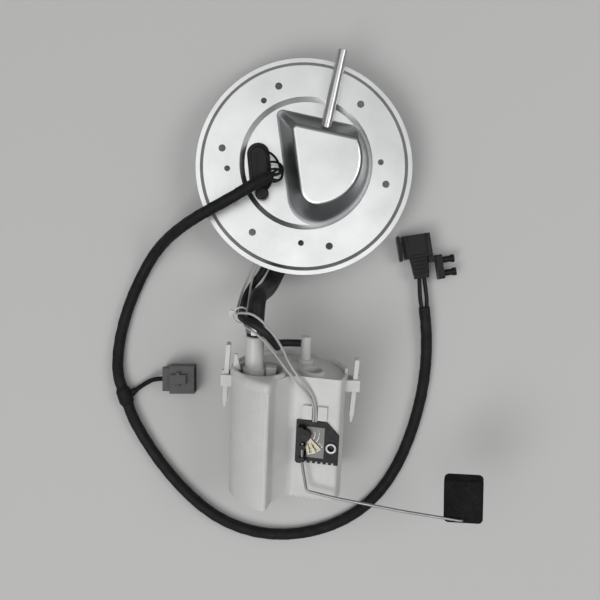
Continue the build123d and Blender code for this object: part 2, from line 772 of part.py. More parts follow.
def leads():
    """Thin leads that leave the shell's side, turn back and gather at the loom's end."""
    start = Vector(*LOOM_FRONT[0])
    along = (Vector(*LOOM_FRONT[1]) - start).normalized()
    gather = Plane(origin=start, x_dir=along.cross(Vector(0, 0, 1)), z_dir=along)
    spots = [(-1, 1), (-1, -1), (1, -1), (1, 1)]
    solids = []
    for index in range(LEAD_COUNT):
        x = (index - (LEAD_COUNT - 1) / 2) * LEAD_PITCH
        side = pass_place() * Pos(x, -PASS_W / 2, LEAD_Z)
        out = pass_place() * Pos(x, -PASS_W / 2 - LEAD_OUT, LEAD_Z)
        u, v = spots[index]
        end = gather.from_local_coords(Vector(u * LEAD_GATHER, v * LEAD_GATHER, 0))
        turn = end - along * LEAD_RUN
        route = [side.position, out.position, turn, end]
        path = FilletPolyline(*route, radius=bend_radii([tuple(p) for p in route], LOOM_RUN_SHARE))
        solids.append(sweep(ring_section(path, LEAD_R), path))
    return Compound(children=solids)


def branch_wrap():
    """The taped branch: a fat sleeve between the loom's two runs, with a stub for the branch lead."""
    first = Vector(*LOOM_FRONT[-1])
    last = Vector(*LOOM_TAIL[0])
    length = (last - first).length
    sleeve = Plane(origin=first, z_dir=last - first) * Pos(0, 0, length / 2) * Cylinder(WRAP_R, length)
    sleeve = fillet(sleeve.edges().filter_by(GeomType.CIRCLE), WRAP_EDGE_R)
    exit_point = Vector(*BRANCH_LEAD[0])
    onward = (Vector(*BRANCH_LEAD[1]) - exit_point).normalized()
    foot = exit_point - onward * BRANCH_STUB_L
    stub = Plane(origin=foot, z_dir=onward) * Pos(0, 0, BRANCH_STUB_L / 2)
    return sleeve + stub * Cylinder(BRANCH_STUB_R, BRANCH_STUB_L)


def branch_place():
    """The branch connector lies on the surface."""
    return Pos(BRANCH_X, BRANCH_Y, FLOOR_Z) * Rot(0, 0, BRANCH_TURN)


def branch_connector():
    """A grey moulded shell with an open socket, its blades and its latch."""
    half_l = BRANCH_L / 2
    half_w = BRANCH_W / 2
    step = half_l - BRANCH_REAR_L
    shell = block(-step, half_l, -half_w, half_w, 0, BRANCH_H)
    shell = fillet(shell.edges().filter_by(Axis.X), BRANCH_EDGE_R)
    drop = BRANCH_REAR_DROP
    rear = block(-half_l, -step, -half_w + drop, half_w - drop, drop, BRANCH_H - drop)
    shell += fillet(rear.edges().filter_by(Axis.X), BRANCH_EDGE_R)
    wall = BRANCH_WALL
    shell -= block(
        half_l - BRANCH_SOCKET_L, half_l + CUT_OVERRUN, -half_w + wall, half_w - wall, wall, BRANCH_H - wall
    )
    floor_x = half_l - BRANCH_SOCKET_L
    blades = []
    for index in range(BLADE_COUNT):
        y = (index - (BLADE_COUNT - 1) / 2) * BLADE_PITCH
        blade = block(
            floor_x, floor_x + BLADE_L, y - BLADE_W / 2, y + BLADE_W / 2,
            (BRANCH_H - BLADE_T) / 2, (BRANCH_H + BLADE_T) / 2,
        )
        blades.append(blade)
    low = BRANCH_H + LATCH_RISE
    pin_z = low + BRANCH_LATCH_T / 2
    pin_l = BRANCH_LATCH_W + LUG_T + LUG_T
    for side in (-1, 1):
        y0, y1 = sorted((side * (BRANCH_LATCH_W / 2 + SLIP), side * (BRANCH_LATCH_W / 2 + SLIP + LUG_T)))
        shell += block(-LUG_T, LUG_T, y0, y1, BRANCH_H, pin_z + BRANCH_PIN_R + BRANCH_LUG_TOP)
    shell -= Pos(0, 0, pin_z) * Rot(90, 0, 0) * Cylinder(BRANCH_PIN_R + SLIP, pin_l + CUT_OVERRUN)
    latch = block(
        -BRANCH_LATCH_L / 2, BRANCH_LATCH_L / 2, -BRANCH_LATCH_W / 2, BRANCH_LATCH_W / 2,
        low, low + BRANCH_LATCH_T,
    )
    latch += block(
        BRANCH_LATCH_L / 2 - LUG_T, BRANCH_LATCH_L / 2, -BRANCH_LATCH_W / 2, BRANCH_LATCH_W / 2,
        low, low + BRANCH_LATCH_T + LUG_T / 2,
    )
    latch += Pos(0, 0, pin_z) * Rot(90, 0, 0) * Cylinder(BRANCH_PIN_R, pin_l)
    return shell, blades, latch


def end_place():
    """The end connector lies on the surface, its X running from the boot to the mating end."""
    return Pos(END_X, END_Y, FLOOR_Z) * Rot(0, 0, END_TURN)


def end_connector():
    """The black shell with its socket, its pins, its neck boot, its latch and its bracket."""
    half_l = END_L / 2
    half_w = END_W / 2
    shell = block(-half_l, half_l, -half_w, half_w, 0, END_H)
    shell = fillet(shell.edges().filter_by(Axis.X), END_EDGE_R)
    wall = END_WALL
    floor_x = half_l - END_SOCKET_L
    shell -= block(floor_x, half_l + CUT_OVERRUN, -half_w + wall, half_w - wall, wall, END_H - wall)
    pins = []
    for row_side in (-1, 1):
        for index in range(BLADE_COUNT):
            y = (index - (BLADE_COUNT - 1) / 2) * END_PIN_PITCH
            z = END_H / 2 + row_side * END_PIN_PITCH / 2
            pin = Pos(floor_x + END_PIN_L / 2, y, z) * Rot(0, 90, 0) * Cylinder(END_PIN_R, END_PIN_L)
            pins.append(pin)
    middle = END_NECK_RISE + END_NECK_H / 2
    facing = Plane(origin=(-half_l, 0, middle), x_dir=(0, 1, 0), z_dir=(-1, 0, 0))
    wide = facing * RectangleRounded(END_NECK_W0, END_NECK_H, END_EDGE_R)
    narrow = facing.offset(END_NECK_L) * RectangleRounded(END_NECK_W1, END_NECK_H, END_EDGE_R)
    boot = loft([wide, narrow])
    low = (END_H - END_LATCH_H) / 2
    near = half_w + END_LATCH_GAP
    far = near + END_LATCH_T
    lever = block(-END_LATCH_L / 2, END_LATCH_L / 2, near, far, low, low + END_LATCH_H)
    lever = fillet(lever.edges().filter_by(Axis.Z), LUG_T / 2)
    pivot_y = (near + far) / 2
    pin = Pos(0, pivot_y, END_H / 2) * Cylinder(PIN_R, END_LATCH_H + LUG_T + LUG_T)
    lever += pin
    for bottom in (low - SLIP - LUG_T, low + END_LATCH_H + SLIP):
        lug = block(-LUG_T - PIN_R, LUG_T + PIN_R, half_w, far, bottom, bottom + LUG_T)
        lug -= Pos(0, pivot_y, bottom + LUG_T / 2) * Cylinder(PIN_R + SLIP, LUG_T + CUT_OVERRUN)
        shell += lug
    return shell, pins, boot, lever


def bracket():
    """The bracket beside the boot, with two push-in studs."""
    half_l = END_L / 2
    x1 = -half_l - SLIP
    x0 = x1 - BRACKET_L
    near = -END_W / 2 - END_LATCH_GAP
    far = near - BRACKET_T
    z0 = (END_H - BRACKET_H) / 2
    body = block(x0, x1, far, near, z0, z0 + BRACKET_H)
    body = fillet(body.edges().filter_by(Axis.Y), END_EDGE_R)
    body += block(
        x1 - BRACKET_T, x1, near, -END_NECK_W0 / 2 - SLIP, END_NECK_RISE, END_NECK_RISE + END_NECK_H
    )
    for index in (-1, 1):
        x = (x0 + x1) / 2 + index * STUD_PITCH / 2
        shank = Pos(x, far - STUD_L / 2, END_H / 2) * Rot(90, 0, 0) * Cylinder(STUD_R, STUD_L)
        head = Pos(x, far - STUD_L + STUD_HEAD_L / 2, END_H / 2) * Rot(90, 0, 0)
        body += shank + head * Cylinder(STUD_HEAD_R, STUD_HEAD_L)
    return body


def section_face(inset=0):
    """The reservoir's outline: a circle with a flat and a notch on its front right."""
    turn = math.radians(FLAT_TURN)
    root_y = -(FLAT_DIST + NOTCH_ROOT_X * math.sin(turn)) / math.cos(turn)
    toe_y = -math.sqrt(RESERVOIR_R**2 - NOTCH_TOE_X**2)
    far_x = RESERVOIR_R + FLAT_DIST
    far_y = -(FLAT_DIST + far_x * math.sin(turn)) / math.cos(turn)
    low = -RESERVOIR_R - FLAT_DIST
    lean = (NOTCH_HEEL_X - NOTCH_TOE_X) / (NOTCH_HEEL_Y - toe_y)
    low_x = NOTCH_HEEL_X + (low - NOTCH_HEEL_Y) * lean
    notch = make_face(
        Polyline(
            (low_x, low), (NOTCH_HEEL_X, NOTCH_HEEL_Y), (NOTCH_ROOT_X, root_y), (far_x, far_y), (far_x, low),
            close=True,
        )
    )
    inner = notch.vertices().sort_by_distance((NOTCH_ROOT_X, root_y))[0]
    notch = fillet(inner, NOTCH_ROOT_R)
    heel = notch.vertices().sort_by_distance((NOTCH_HEEL_X, NOTCH_HEEL_Y))[0]
    notch = fillet(heel, NOTCH_ROOT_R)
    face = Circle(RESERVOIR_R) - notch
    for corner in ((NOTCH_TOE_X, toe_y), (RESERVOIR_R * math.cos(turn), far_y)):
        face = fillet(face.vertices().sort_by_distance(corner)[0], FLAT_END_R)
    if inset:
        face = offset(face, -inset, kind=Kind.INTERSECTION)
    return face


def reservoir():
    """The moulded reservoir: outer cup, inner pump tube, latch lugs, rim ear, foot notches and ribs."""
    outline = section_face()
    body = extrude(outline, RESERVOIR_H)
    cavity = extrude(section_face(RESERVOIR_WALL), RESERVOIR_H)
    tube_r = PUMP_BORE_R + PUMP_TUBE_WALL
    cavity -= rod(tube_r, 0, RESERVOIR_H, PUMP_X, PUMP_Y)
    body -= Pos(0, 0, RESERVOIR_FLOOR) * cavity
    body -= rod(PUMP_BORE_R, RESERVOIR_FLOOR, RESERVOIR_H + CUT_OVERRUN, PUMP_X, PUMP_Y)
    ledge = extrude(section_face(RESERVOIR_WALL), LEDGE_H) - extrude(
        section_face(RESERVOIR_WALL + LEDGE_W), LEDGE_H
    )
    ledge -= rod(tube_r, 0, LEDGE_H, PUMP_X, PUMP_Y)
    body += Pos(0, 0, LID_TOP_Z - LID_T - LEDGE_H) * ledge
    for x, y in foot_hole_places():
        body -= rod(FOOT_HOLE_R, -CUT_OVERRUN, RESERVOIR_FLOOR + CUT_OVERRUN, x, y)
    body -= rod(
        FLAP_STEM_R + SLIP, -CUT_OVERRUN, RESERVOIR_FLOOR + CUT_OVERRUN, FOOT_VALVE_X, FOOT_VALVE_Y
    )
    flat = flat_frame().location
    flat_w = RESERVOIR_R * math.cos(math.asin(FLAT_DIST / RESERVOIR_R))
    for index in range(FOOT_NOTCH_COUNT):
        share = FOOT_NOTCH_START_SHARE + (FOOT_NOTCH_END_SHARE - FOOT_NOTCH_START_SHARE) * index / (
            FOOT_NOTCH_COUNT - 1
        )
        x = share * flat_w
        notch = block(
            x - FOOT_NOTCH_W / 2, x + FOOT_NOTCH_W / 2, -CUT_OVERRUN, FOOT_NOTCH_H,
            -FOOT_NOTCH_DEPTH, CUT_OVERRUN,
        )
        body -= flat * notch
    for x in TAB_XS:
        body += flat * block(x, x + TAB_W, TAB_Z, TAB_Z + TAB_H, -RESERVOIR_WALL / 2, TAB_T)
    for side, stand in ((-1, LEFT_ARM_STAND), (1, RIGHT_ARM_STAND)):
        for y_side in (-1, 1):
            body += arm_lug(side, stand, y_side)
    ear_top = RESERVOIR_H + EAR_RISE
    ear_x = RESERVOIR_R - RESERVOIR_WALL
    body += block(ear_x, ear_x + EAR_T, -EAR_W / 2, EAR_W / 2, ear_top - EAR_H, ear_top)
    rib_top = RESERVOIR_H - RIB_DROP
    for index in range(RIB_COUNT):
        rib = block(
            RESERVOIR_R - RESERVOIR_WALL / 2, RESERVOIR_R + RIB_T, -RIB_W / 2, RIB_W / 2, rib_top - RIB_L, rib_top
        )
        body += Rot(0, 0, RIB_FIRST_ANGLE + index * RIB_STEP_ANGLE) * rib
    return body


def foot_hole_places():
    """The centres of the filling holes round the foot valve's stem."""
    places = []
    for index in range(FOOT_HOLE_COUNT):
        angle = math.tau * (index + 1 / 2) / FOOT_HOLE_COUNT
        x = FOOT_VALVE_X + FOOT_HOLE_CIRCLE_R * math.cos(angle)
        y = FOOT_VALVE_Y + FOOT_HOLE_CIRCLE_R * math.sin(angle)
        places.append((x, y))
    return places


def arm_lug(side, stand, y_side):
    """One lug of a latch arm's pivot, on the reservoir's side."""
    inner = ARM_W / 2 + ARM_LUG_GAP
    y0, y1 = sorted((y_side * inner, y_side * (inner + ARM_LUG_T)))
    reach = RESERVOIR_R + stand + ARM_PIN_R + ARM_LUG_T
    x0, x1 = sorted((side * (RESERVOIR_R - RESERVOIR_WALL), side * reach))
    lug = block(x0, x1, y0, y1, ARM_PIVOT_Z - ARM_LUG_H / 2, ARM_PIVOT_Z + ARM_LUG_H / 2)
    pivot_x = side * (RESERVOIR_R + stand)
    hole = Pos(pivot_x, (y0 + y1) / 2, ARM_PIVOT_Z) * Rot(90, 0, 0)
    return lug - hole * Cylinder(ARM_PIN_R + SLIP, ARM_LUG_T + CUT_OVERRUN)


def latch_arm(side, stand, rise):
    """A latch arm: a flat bar with a pointed foot, on pins that turn in the two lugs."""
    low = rise - ARM_DROP
    high = low + ARM_LEN
    half = ARM_T / 2
    tip = ARM_TIP_T / 2
    outline = make_face(
        Polyline(
            (-tip, low), (tip, low), (half, low + ARM_POINT_L), (half, high), (-half, high),
            (-half, low + ARM_POINT_L), close=True,
        )
    )
    bar = Rot(90, 0, 0) * extrude(outline, ARM_W / 2, both=True)
    top = bar.edges().filter_by(Axis.Y).sort_by(Axis.Z)[-2:]
    bar = fillet(top, ARM_TIP_T)
    span = ARM_W + ARM_LUG_GAP * 2 + ARM_LUG_T * 2
    bar += Rot(90, 0, 0) * Cylinder(ARM_PIN_R, span)
    return Pos(side * (RESERVOIR_R + stand), 0, ARM_PIVOT_Z) * Rot(0, ARM_LEAN, 0) * bar


def lid():
    """The lid: a plate inside the rim with a collar round the filling hole and a seat for the elbow."""
    high = LID_TOP_Z
    low = high - LID_T
    outline = section_face(RESERVOIR_WALL + LID_GAP)
    plate = extrude(Pos(0, 0, low) * outline, LID_T)
    plate -= rod(PUMP_BORE_R + PUMP_TUBE_WALL + LID_GAP, low, high, PUMP_X, PUMP_Y)
    plate = plate.solids().sort_by(SortBy.VOLUME)[-1]
    plate += rod(COLLAR_R, high, high + COLLAR_H, FILL_X, FILL_Y)
    plate -= rod(FILL_R, low - CUT_OVERRUN, high + COLLAR_H + CUT_OVERRUN, FILL_X, FILL_Y)
    plate -= rod(JET_R + SLIP, low - CUT_OVERRUN, high + CUT_OVERRUN, ELBOW_X, ELBOW_Y)
    return plate


def elbow():
    """The elbow on the lid, its port to the left, its bore down to the jet tube."""
    body = rod(ELBOW_FOOT_R, LID_TOP_Z, LID_TOP_Z + ELBOW_FOOT_H, ELBOW_X, ELBOW_Y)
    post = rod(ELBOW_R, LID_TOP_Z, ELBOW_TOP_Z, ELBOW_X, ELBOW_Y)
    body += fillet(post.faces().sort_by(Axis.Z)[-1].edges(), LUG_T)
    length = ELBOW_R + PORT_L
    port = Pos(ELBOW_X - length / 2, ELBOW_Y, ELBOW_PORT_Z) * Rot(0, 90, 0)
    body += port * Cylinder(PORT_R, length)
    body -= rod(ELBOW_BORE_R, LID_TOP_Z, ELBOW_PORT_Z, ELBOW_X, ELBOW_Y)
    body -= port * Cylinder(PORT_R / 2, length)
    return body


def jet_tube():
    """The tube from the elbow down to the reservoir's floor."""
    tube_solid = rod(JET_R, JET_END_Z, LID_TOP_Z, ELBOW_X, ELBOW_Y)
    return tube_solid - rod(JET_BORE_R, JET_END_Z, LID_TOP_Z, ELBOW_X, ELBOW_Y)


def foot_valve():
    """The rubber flap over the filling holes, its stem through the floor."""
    flap = rod(FLAP_R, RESERVOIR_FLOOR, RESERVOIR_FLOOR + FLAP_T, FOOT_VALVE_X, FOOT_VALVE_Y)
    return flap + rod(FLAP_STEM_R, FOOT_NOTCH_H / 2, RESERVOIR_FLOOR, FOOT_VALVE_X, FOOT_VALVE_Y)


def pump_place():
    """The pump's axis in the reservoir."""
    return Pos(PUMP_X, PUMP_Y, 0)


def pump_static():
    """The pump's fixed pieces on its own axis: shell, inlet cover, magnets, brushes, isolator, strainer."""
    shell = rod(SHELL_R, SHELL_Z0, SHELL_Z1) - rod(SHELL_R - SHELL_T, SHELL_Z0, SHELL_Z1)
    cover_low = SHELL_Z0 - INLET_COVER_H
    cover = rod(SHELL_R, cover_low, SHELL_Z0)
    cover += rod(INLET_R, cover_low - INLET_L, cover_low)
    cover -= rod(INLET_BORE_R, cover_low - INLET_L, cover_low)
    cover -= rod(SHAFT_R + RUNNING_GAP, SHAFT_Z0 - RUNNING_GAP, SHELL_Z0)
    ring = rod(MAGNET_R1, MAGNET_Z0, MAGNET_Z1) - rod(MAGNET_R0, MAGNET_Z0, MAGNET_Z1)
    ring -= block(-MAGNET_R1, MAGNET_R1, -MAGNET_GAP_W / 2, MAGNET_GAP_W / 2, MAGNET_Z0, MAGNET_Z1)
    brushes = []
    low = (COMMUTATOR_Z0 + COMMUTATOR_Z1 - BRUSH_H) / 2
    for side in (-1, 1):
        x0, x1 = sorted((side * (COMMUTATOR_R + RUNNING_GAP), side * (COMMUTATOR_R + BRUSH_L)))
        brush = block(x0, x1, -BRUSH_W / 2, BRUSH_W / 2, low, low + BRUSH_H)
        brushes.append(brush - rod(COMMUTATOR_R + RUNNING_GAP, low, low + BRUSH_H))
    isolator = rod(PUMP_BORE_R - ISOLATOR_RIB, SHELL_Z1 - ISOLATOR_H, SHELL_Z1)
    isolator -= rod(SHELL_R + SLIP, SHELL_Z1 - ISOLATOR_H, SHELL_Z1)
    strainer = rod(STRAINER_R, RESERVOIR_FLOOR, RESERVOIR_FLOOR + STRAINER_H)
    strainer = fillet(strainer.edges().filter_by(GeomType.CIRCLE), STRAINER_EDGE_R)
    strainer += rod(INLET_R, RESERVOIR_FLOOR + STRAINER_H, cover_low - INLET_L)
    return shell, cover, ring, brushes, isolator, strainer


def pump_rotor():
    """The turning pieces: armature with shaft and commutator, and the vaned impeller."""
    armature = rod(ARMATURE_R, ARMATURE_Z0, ARMATURE_Z1)
    for index in range(SLOT_COUNT):
        slot = block(
            ARMATURE_R - SLOT_D, ARMATURE_R + CUT_OVERRUN, -SLOT_W / 2, SLOT_W / 2, ARMATURE_Z0, ARMATURE_Z1
        )
        armature -= Rot(0, 0, index * math.degrees(math.tau) / SLOT_COUNT) * slot
    armature += rod(SHAFT_R, SHAFT_Z0, SHAFT_Z1) + rod(COMMUTATOR_R, COMMUTATOR_Z0, COMMUTATOR_Z1)
    impeller = rod(IMPELLER_R, IMPELLER_Z, IMPELLER_Z + IMPELLER_T)
    for index in range(VANE_COUNT):
        gap = block(
            IMPELLER_R - VANE_D, IMPELLER_R + CUT_OVERRUN, -VANE_W / 2, VANE_W / 2,
            IMPELLER_Z, IMPELLER_Z + IMPELLER_T,
        )
        impeller -= Rot(0, 0, index * math.degrees(math.tau) / VANE_COUNT) * gap
    impeller -= rod(SHAFT_R, IMPELLER_Z, IMPELLER_Z + IMPELLER_T)
    return armature, impeller


def outlet_housing():
    """The pump's end cap with its check-valve tower and hose nipple, in the reservoir's frame."""
    cap = rod(SHELL_R, SHELL_Z1, CAP_TOP_Z, PUMP_X, PUMP_Y)
    cap += rod(MAGNET_R1, COMMUTATOR_Z1 + CAP_H / 2, SHELL_Z1, PUMP_X, PUMP_Y)
    cap -= rod(SHAFT_R + RUNNING_GAP, COMMUTATOR_Z1, SHAFT_Z1 + RUNNING_GAP, PUMP_X, PUMP_Y)
    base_top = CAP_TOP_Z + TOWER_BASE_H
    cap += rod(TOWER_BASE_R, CAP_TOP_Z, base_top, TOWER_X, TOWER_Y)
    tower = rod(TOWER_R, base_top - CAP_H, TOWER_TOP_Z, TOWER_X, TOWER_Y)
    cap += fillet(tower.faces().sort_by(Axis.Z)[-1].edges(), TOWER_EDGE_R)
    cap += rod(TOWER_NIPPLE_R, TOWER_TOP_Z - CAP_H, TOWER_TOP_Z + TOWER_NIPPLE_L, TOWER_X, TOWER_Y)
    cap -= rod(TOWER_BORE_R, TOWER_SEAT_Z, TOWER_BORE_TOP_Z, TOWER_X, TOWER_Y)
    cap -= rod(TOWER_SEAT_R, COMMUTATOR_Z1, TOWER_SEAT_Z, TOWER_X, TOWER_Y)
    cap -= rod(
        TOWER_NIPPLE_BORE_R, TOWER_SEAT_Z, TOWER_TOP_Z + TOWER_NIPPLE_L + CUT_OVERRUN, TOWER_X, TOWER_Y
    )
    return cap


def check_valve():
    """The poppet on its seat and the spring above it, short of the bore's end by the poppet's lift."""
    poppet_r = TOWER_BORE_R - RUNNING_GAP
    top = TOWER_SEAT_Z + POPPET_H
    poppet = rod(poppet_r, TOWER_SEAT_Z, top)
    flute = block(
        poppet_r - POPPET_FLUTE_D, TOWER_BORE_R, -POPPET_FLUTE_W / 2, POPPET_FLUTE_W / 2, TOWER_SEAT_Z, top
    )
    for index in range(FLUTE_COUNT):
        poppet -= Rot(0, 0, index * math.degrees(math.tau) / FLUTE_COUNT) * flute
    poppet += rod(POPPET_STEM_R, top, top + POPPET_STEM_H)
    low = TOWER_SEAT_Z + POPPET_H + VALVE_SPRING_WIRE_R
    high = TOWER_BORE_TOP_Z - VALVE_SPRING_WIRE_R - POPPET_LIFT - SLIP
    height = high - low
    coil = Helix(height / VALVE_SPRING_TURNS, height, VALVE_SPRING_R)
    wire = sweep(Plane(origin=coil @ 0, z_dir=coil % 0) * Circle(VALVE_SPRING_WIRE_R), coil)
    return Pos(TOWER_X, TOWER_Y) * poppet, Pos(TOWER_X, TOWER_Y, low) * wire


def pump_plug():
    """The small connector on the pump's end cap."""
    body = block(
        PLUG_X - PLUG_L / 2, PLUG_X + PLUG_L / 2, PLUG_Y - PLUG_W / 2, PLUG_Y + PLUG_W / 2,
        CAP_TOP_Z, CAP_TOP_Z + PLUG_H,
    )
    return fillet(body.edges(), PLUG_EDGE_R)


def retainer():
    """The white ring that holds the pump in its tube, with a fin standing on its left."""
    low = RESERVOIR_H
    ring = rod(RETAINER_R, low, low + RETAINER_H, PUMP_X, PUMP_Y)
    ring += rod(PUMP_BORE_R - SLIP, CAP_TOP_Z, low, PUMP_X, PUMP_Y)
    ring -= rod(RETAINER_BORE_R, CAP_TOP_Z, low + RETAINER_H, PUMP_X, PUMP_Y)
    profile = make_face(
        Polyline(
            (FIN_X0, low + RETAINER_H / 2),
            (FIN_X0 + FIN_W, low + RETAINER_H / 2),
            (FIN_X0 + FIN_W / 2, low + FIN_H),
            (FIN_X0 + FIN_W / 4, low + FIN_H),
            close=True,
        )
    )
    fin = Pos(0, PUMP_Y, 0) * Rot(90, 0, 0) * extrude(profile, FIN_T / 2, both=True)
    ring += fin
    return ring


def sender_plate():
    """The dark moulded plate on the flat, with its pivot post, its ring boss and a toothed foot."""
    x1 = SENDER_X0 + SENDER_W
    z1 = SENDER_Z0 + SENDER_L
    outline = make_face(
        Polyline(
            (SENDER_X0, SENDER_Z0), (x1, SENDER_Z0), (x1, z1 - SENDER_CHAMFER), (x1 - SENDER_CHAMFER, z1),
            (SENDER_X0, z1), close=True,
        )
    )
    plate = extrude(outline, SENDER_T)
    pitch = SENDER_W / (SENDER_EDGE_NOTCHES + 1)
    for index in range(SENDER_EDGE_NOTCHES):
        x = SENDER_X0 + pitch * (index + 1)
        plate -= block(
            x - SENDER_NOTCH_W / 2, x + SENDER_NOTCH_W / 2, SENDER_Z0 - CUT_OVERRUN,
            SENDER_Z0 + SENDER_NOTCH_D, 0, SENDER_T + CUT_OVERRUN,
        )
    plate += rod(RING_R, SENDER_T, SENDER_T + RING_H, RING_X, RING_Z)
    plate -= rod(RING_HOLE_R, SENDER_T / 2, SENDER_T + RING_H + CUT_OVERRUN, RING_X, RING_Z)
    plate += rod(PIVOT_R, SENDER_T, PIVOT_TOP, PIVOT_X, PIVOT_Z)
    return plate


def resistor_card():
    """The ceramic card with its printed tracks."""
    top = SENDER_T + CARD_T
    card = block(CARD_X0, CARD_X0 + CARD_W, CARD_Z0, CARD_Z0 + CARD_L, SENDER_T, top)
    card -= rod(HUB_R, SENDER_T, top, PIVOT_X, PIVOT_Z)
    return card


def carrier():
    """The wiper carrier: a hub on the pivot post and a bar that holds the float wire."""
    top = HUB_Z + HUB_T
    bar = block(CARRIER_X0, CARRIER_X0 + CARRIER_W, CARRIER_Z0, CARRIER_Z0 + CARRIER_L, HUB_Z, top)
    bar = fillet(bar.edges().filter_by(Axis.Z), WIRE_R)
    bar += rod(HUB_R, HUB_Z, top, PIVOT_X, PIVOT_Z)
    half = WIRE_R + CARRIER_CLIP_T
    for z in CARRIER_CLIP_ZS:
        middle = WIRE_ROUTE[0][0]
        bar += block(middle - half, middle + half, z, z + CARRIER_CLIP_L, HUB_Z, WIRE_OUT + half)
    bar -= float_wire(RUNNING_GAP)
    return bar - rod(PIVOT_R + RUNNING_GAP, HUB_Z, WIRE_OUT + half, PIVOT_X, PIVOT_Z)


def wiper():
    """The springy metal contact: curved fingers that reach from the hub over the card."""
    low = HUB_Z - WIPER_T
    card_top = SENDER_T + CARD_T
    body = rod(HUB_R, low, HUB_Z, PIVOT_X, PIVOT_Z)
    for index in range(WIPER_FINGERS):
        angle = WIPER_FIRST_ANGLE + index * WIPER_STEP_ANGLE
        finger = block(0, WIPER_R, -WIPER_W / 2, WIPER_W / 2, low, HUB_Z)
        finger += rod(WIPER_TIP_R, card_top + RUNNING_GAP, low, WIPER_R - WIPER_W / 2)
        body += Pos(PIVOT_X, PIVOT_Z) * Rot(0, 0, angle) * finger
    return body - rod(PIVOT_R + RUNNING_GAP, low, HUB_Z, PIVOT_X, PIVOT_Z)


def float_wire(gap=0):
    """The bent wire: along the carrier, down, across to the float, its end turned into the float."""
    route = [(x, z, WIRE_OUT) for x, z in WIRE_ROUTE]
    end_x, end_z = WIRE_ROUTE[-1]
    tail = WIRE_OUT - WIRE_R - FLOAT_SEAT - FLOAT_T - WIRE_TAIL
    route.append((end_x, end_z, tail))
    radii = bend_radii(route, LOOM_RUN_SHARE, WIRE_BEND_R)
    radii[-1] = WIRE_END_BEND_R
    path = path_along(route, radii)
    return sweep(ring_section(path, WIRE_R + gap), path)


def float_solid():
    """The float: a rounded block bored for the wire's end."""
    top = WIRE_OUT - WIRE_R - FLOAT_SEAT
    low = top - FLOAT_T
    body = block(FLOAT_X0, FLOAT_X0 + FLOAT_W, FLOAT_Z0, FLOAT_Z0 + FLOAT_L, low, top)
    body = fillet(body.edges().filter_by(Axis.Z), FLOAT_CORNER_R)
    rims = body.faces().filter_by(Axis.Z).edges()
    body = fillet(rims, FLOAT_EDGE_R)
    end_x, end_z = WIRE_ROUTE[-1]
    return body - rod(WIRE_R + FLOAT_BORE_GAP, low - CUT_OVERRUN, top + CUT_OVERRUN, end_x, end_z)


def float_clip():
    """The push-on washer that keeps the float on the wire."""
    end_x, end_z = WIRE_ROUTE[-1]
    high = WIRE_OUT - WIRE_R - FLOAT_SEAT - FLOAT_T - SLIP
    washer = rod(CLIP_WASHER_R, high - CLIP_WASHER_T, high, end_x, end_z)
    return washer - rod(WIRE_R, high - CLIP_WASHER_T, high, end_x, end_z)


def spot(x, y, z):
    """A point of the reservoir's frame, in the module's frame."""
    return tuple((RESERVOIR * Pos(x, y, z)).position)


def fuel_hose():
    """The moulded hose from the regulator block to the tower's nipple."""
    end = spot(TOWER_X, TOWER_Y, TOWER_TOP_Z + SLIP)
    before = spot(TOWER_X, TOWER_Y, TOWER_TOP_Z + HOSE_LAST_RUN)
    return tube(HOSE_ROUTE + [before, end], HOSE_R, HOSE_BORE_R)


def back_hose():
    """The thin return hose from the regulator block to the elbow's port."""
    end_x = ELBOW_X - ELBOW_R - SLIP
    end = spot(end_x, ELBOW_Y, ELBOW_PORT_Z)
    before = spot(end_x - BACK_LAST_RUN, ELBOW_Y, ELBOW_PORT_Z)
    return tube(BACK_HOSE_ROUTE + [before, end], BACK_HOSE_R, BACK_HOSE_BORE_R)


def clamp(plane):
    """A band clamp with an ear, round the fuel hose."""
    outer = HOSE_R + SLIP + CLAMP_T
    band = Cylinder(outer, CLAMP_W) - Cylinder(HOSE_R + SLIP, CLAMP_W)
    ear = block(
        -CLAMP_EAR_W / 2, CLAMP_EAR_W / 2, outer - CLAMP_T / 2, outer + CLAMP_EAR_H,
        -CLAMP_W / 2, CLAMP_W / 2,
    )
    return plane * (band + ear)


def hose_clamps():
    """One clamp on the block's nipple and one on the tower's."""
    first = Vector(*HOSE_ROUTE[0])
    onward = Vector(*HOSE_ROUTE[1]) - first
    near = Plane(origin=first + onward.normalized() * CLAMP_W, x_dir=(1, 0, 0), z_dir=onward)
    end = Vector(*spot(TOWER_X, TOWER_Y, TOWER_TOP_Z + CLAMP_W))
    beyond = Vector(*spot(TOWER_X, TOWER_Y, TOWER_TOP_Z + CLAMP_W + CLAMP_W))
    far = Plane(origin=end, x_dir=(-1, 0, 0), z_dir=beyond - end)
    return clamp(near), clamp(far)


def sender_leads():
    """The two thin leads from the pass-through's lower half to the sender."""
    return [cord("sender_leads", points, SENDER_LEAD_R) for points in SENDER_LEADS]


def end_leads():
    """Two leads from the loom's end to the boot."""
    boot_end = end_place() * Pos(-END_L / 2 - END_NECK_L, 0, END_NECK_RISE + END_NECK_H / 2)
    last = Vector(*LOOM_TAIL[-1])
    middle = boot_end.position
    side = (middle - last).normalized().cross(Vector(0, 0, 1)) * (END_LEAD_PITCH / 2)
    along = middle - last
    leads = []
    for sign in (-1, 1):
        lead = Plane(origin=last + side * sign, z_dir=along) * Pos(0, 0, along.length / 2)
        leads.append(lead * Cylinder(END_LEAD_R, along.length))
    return leads


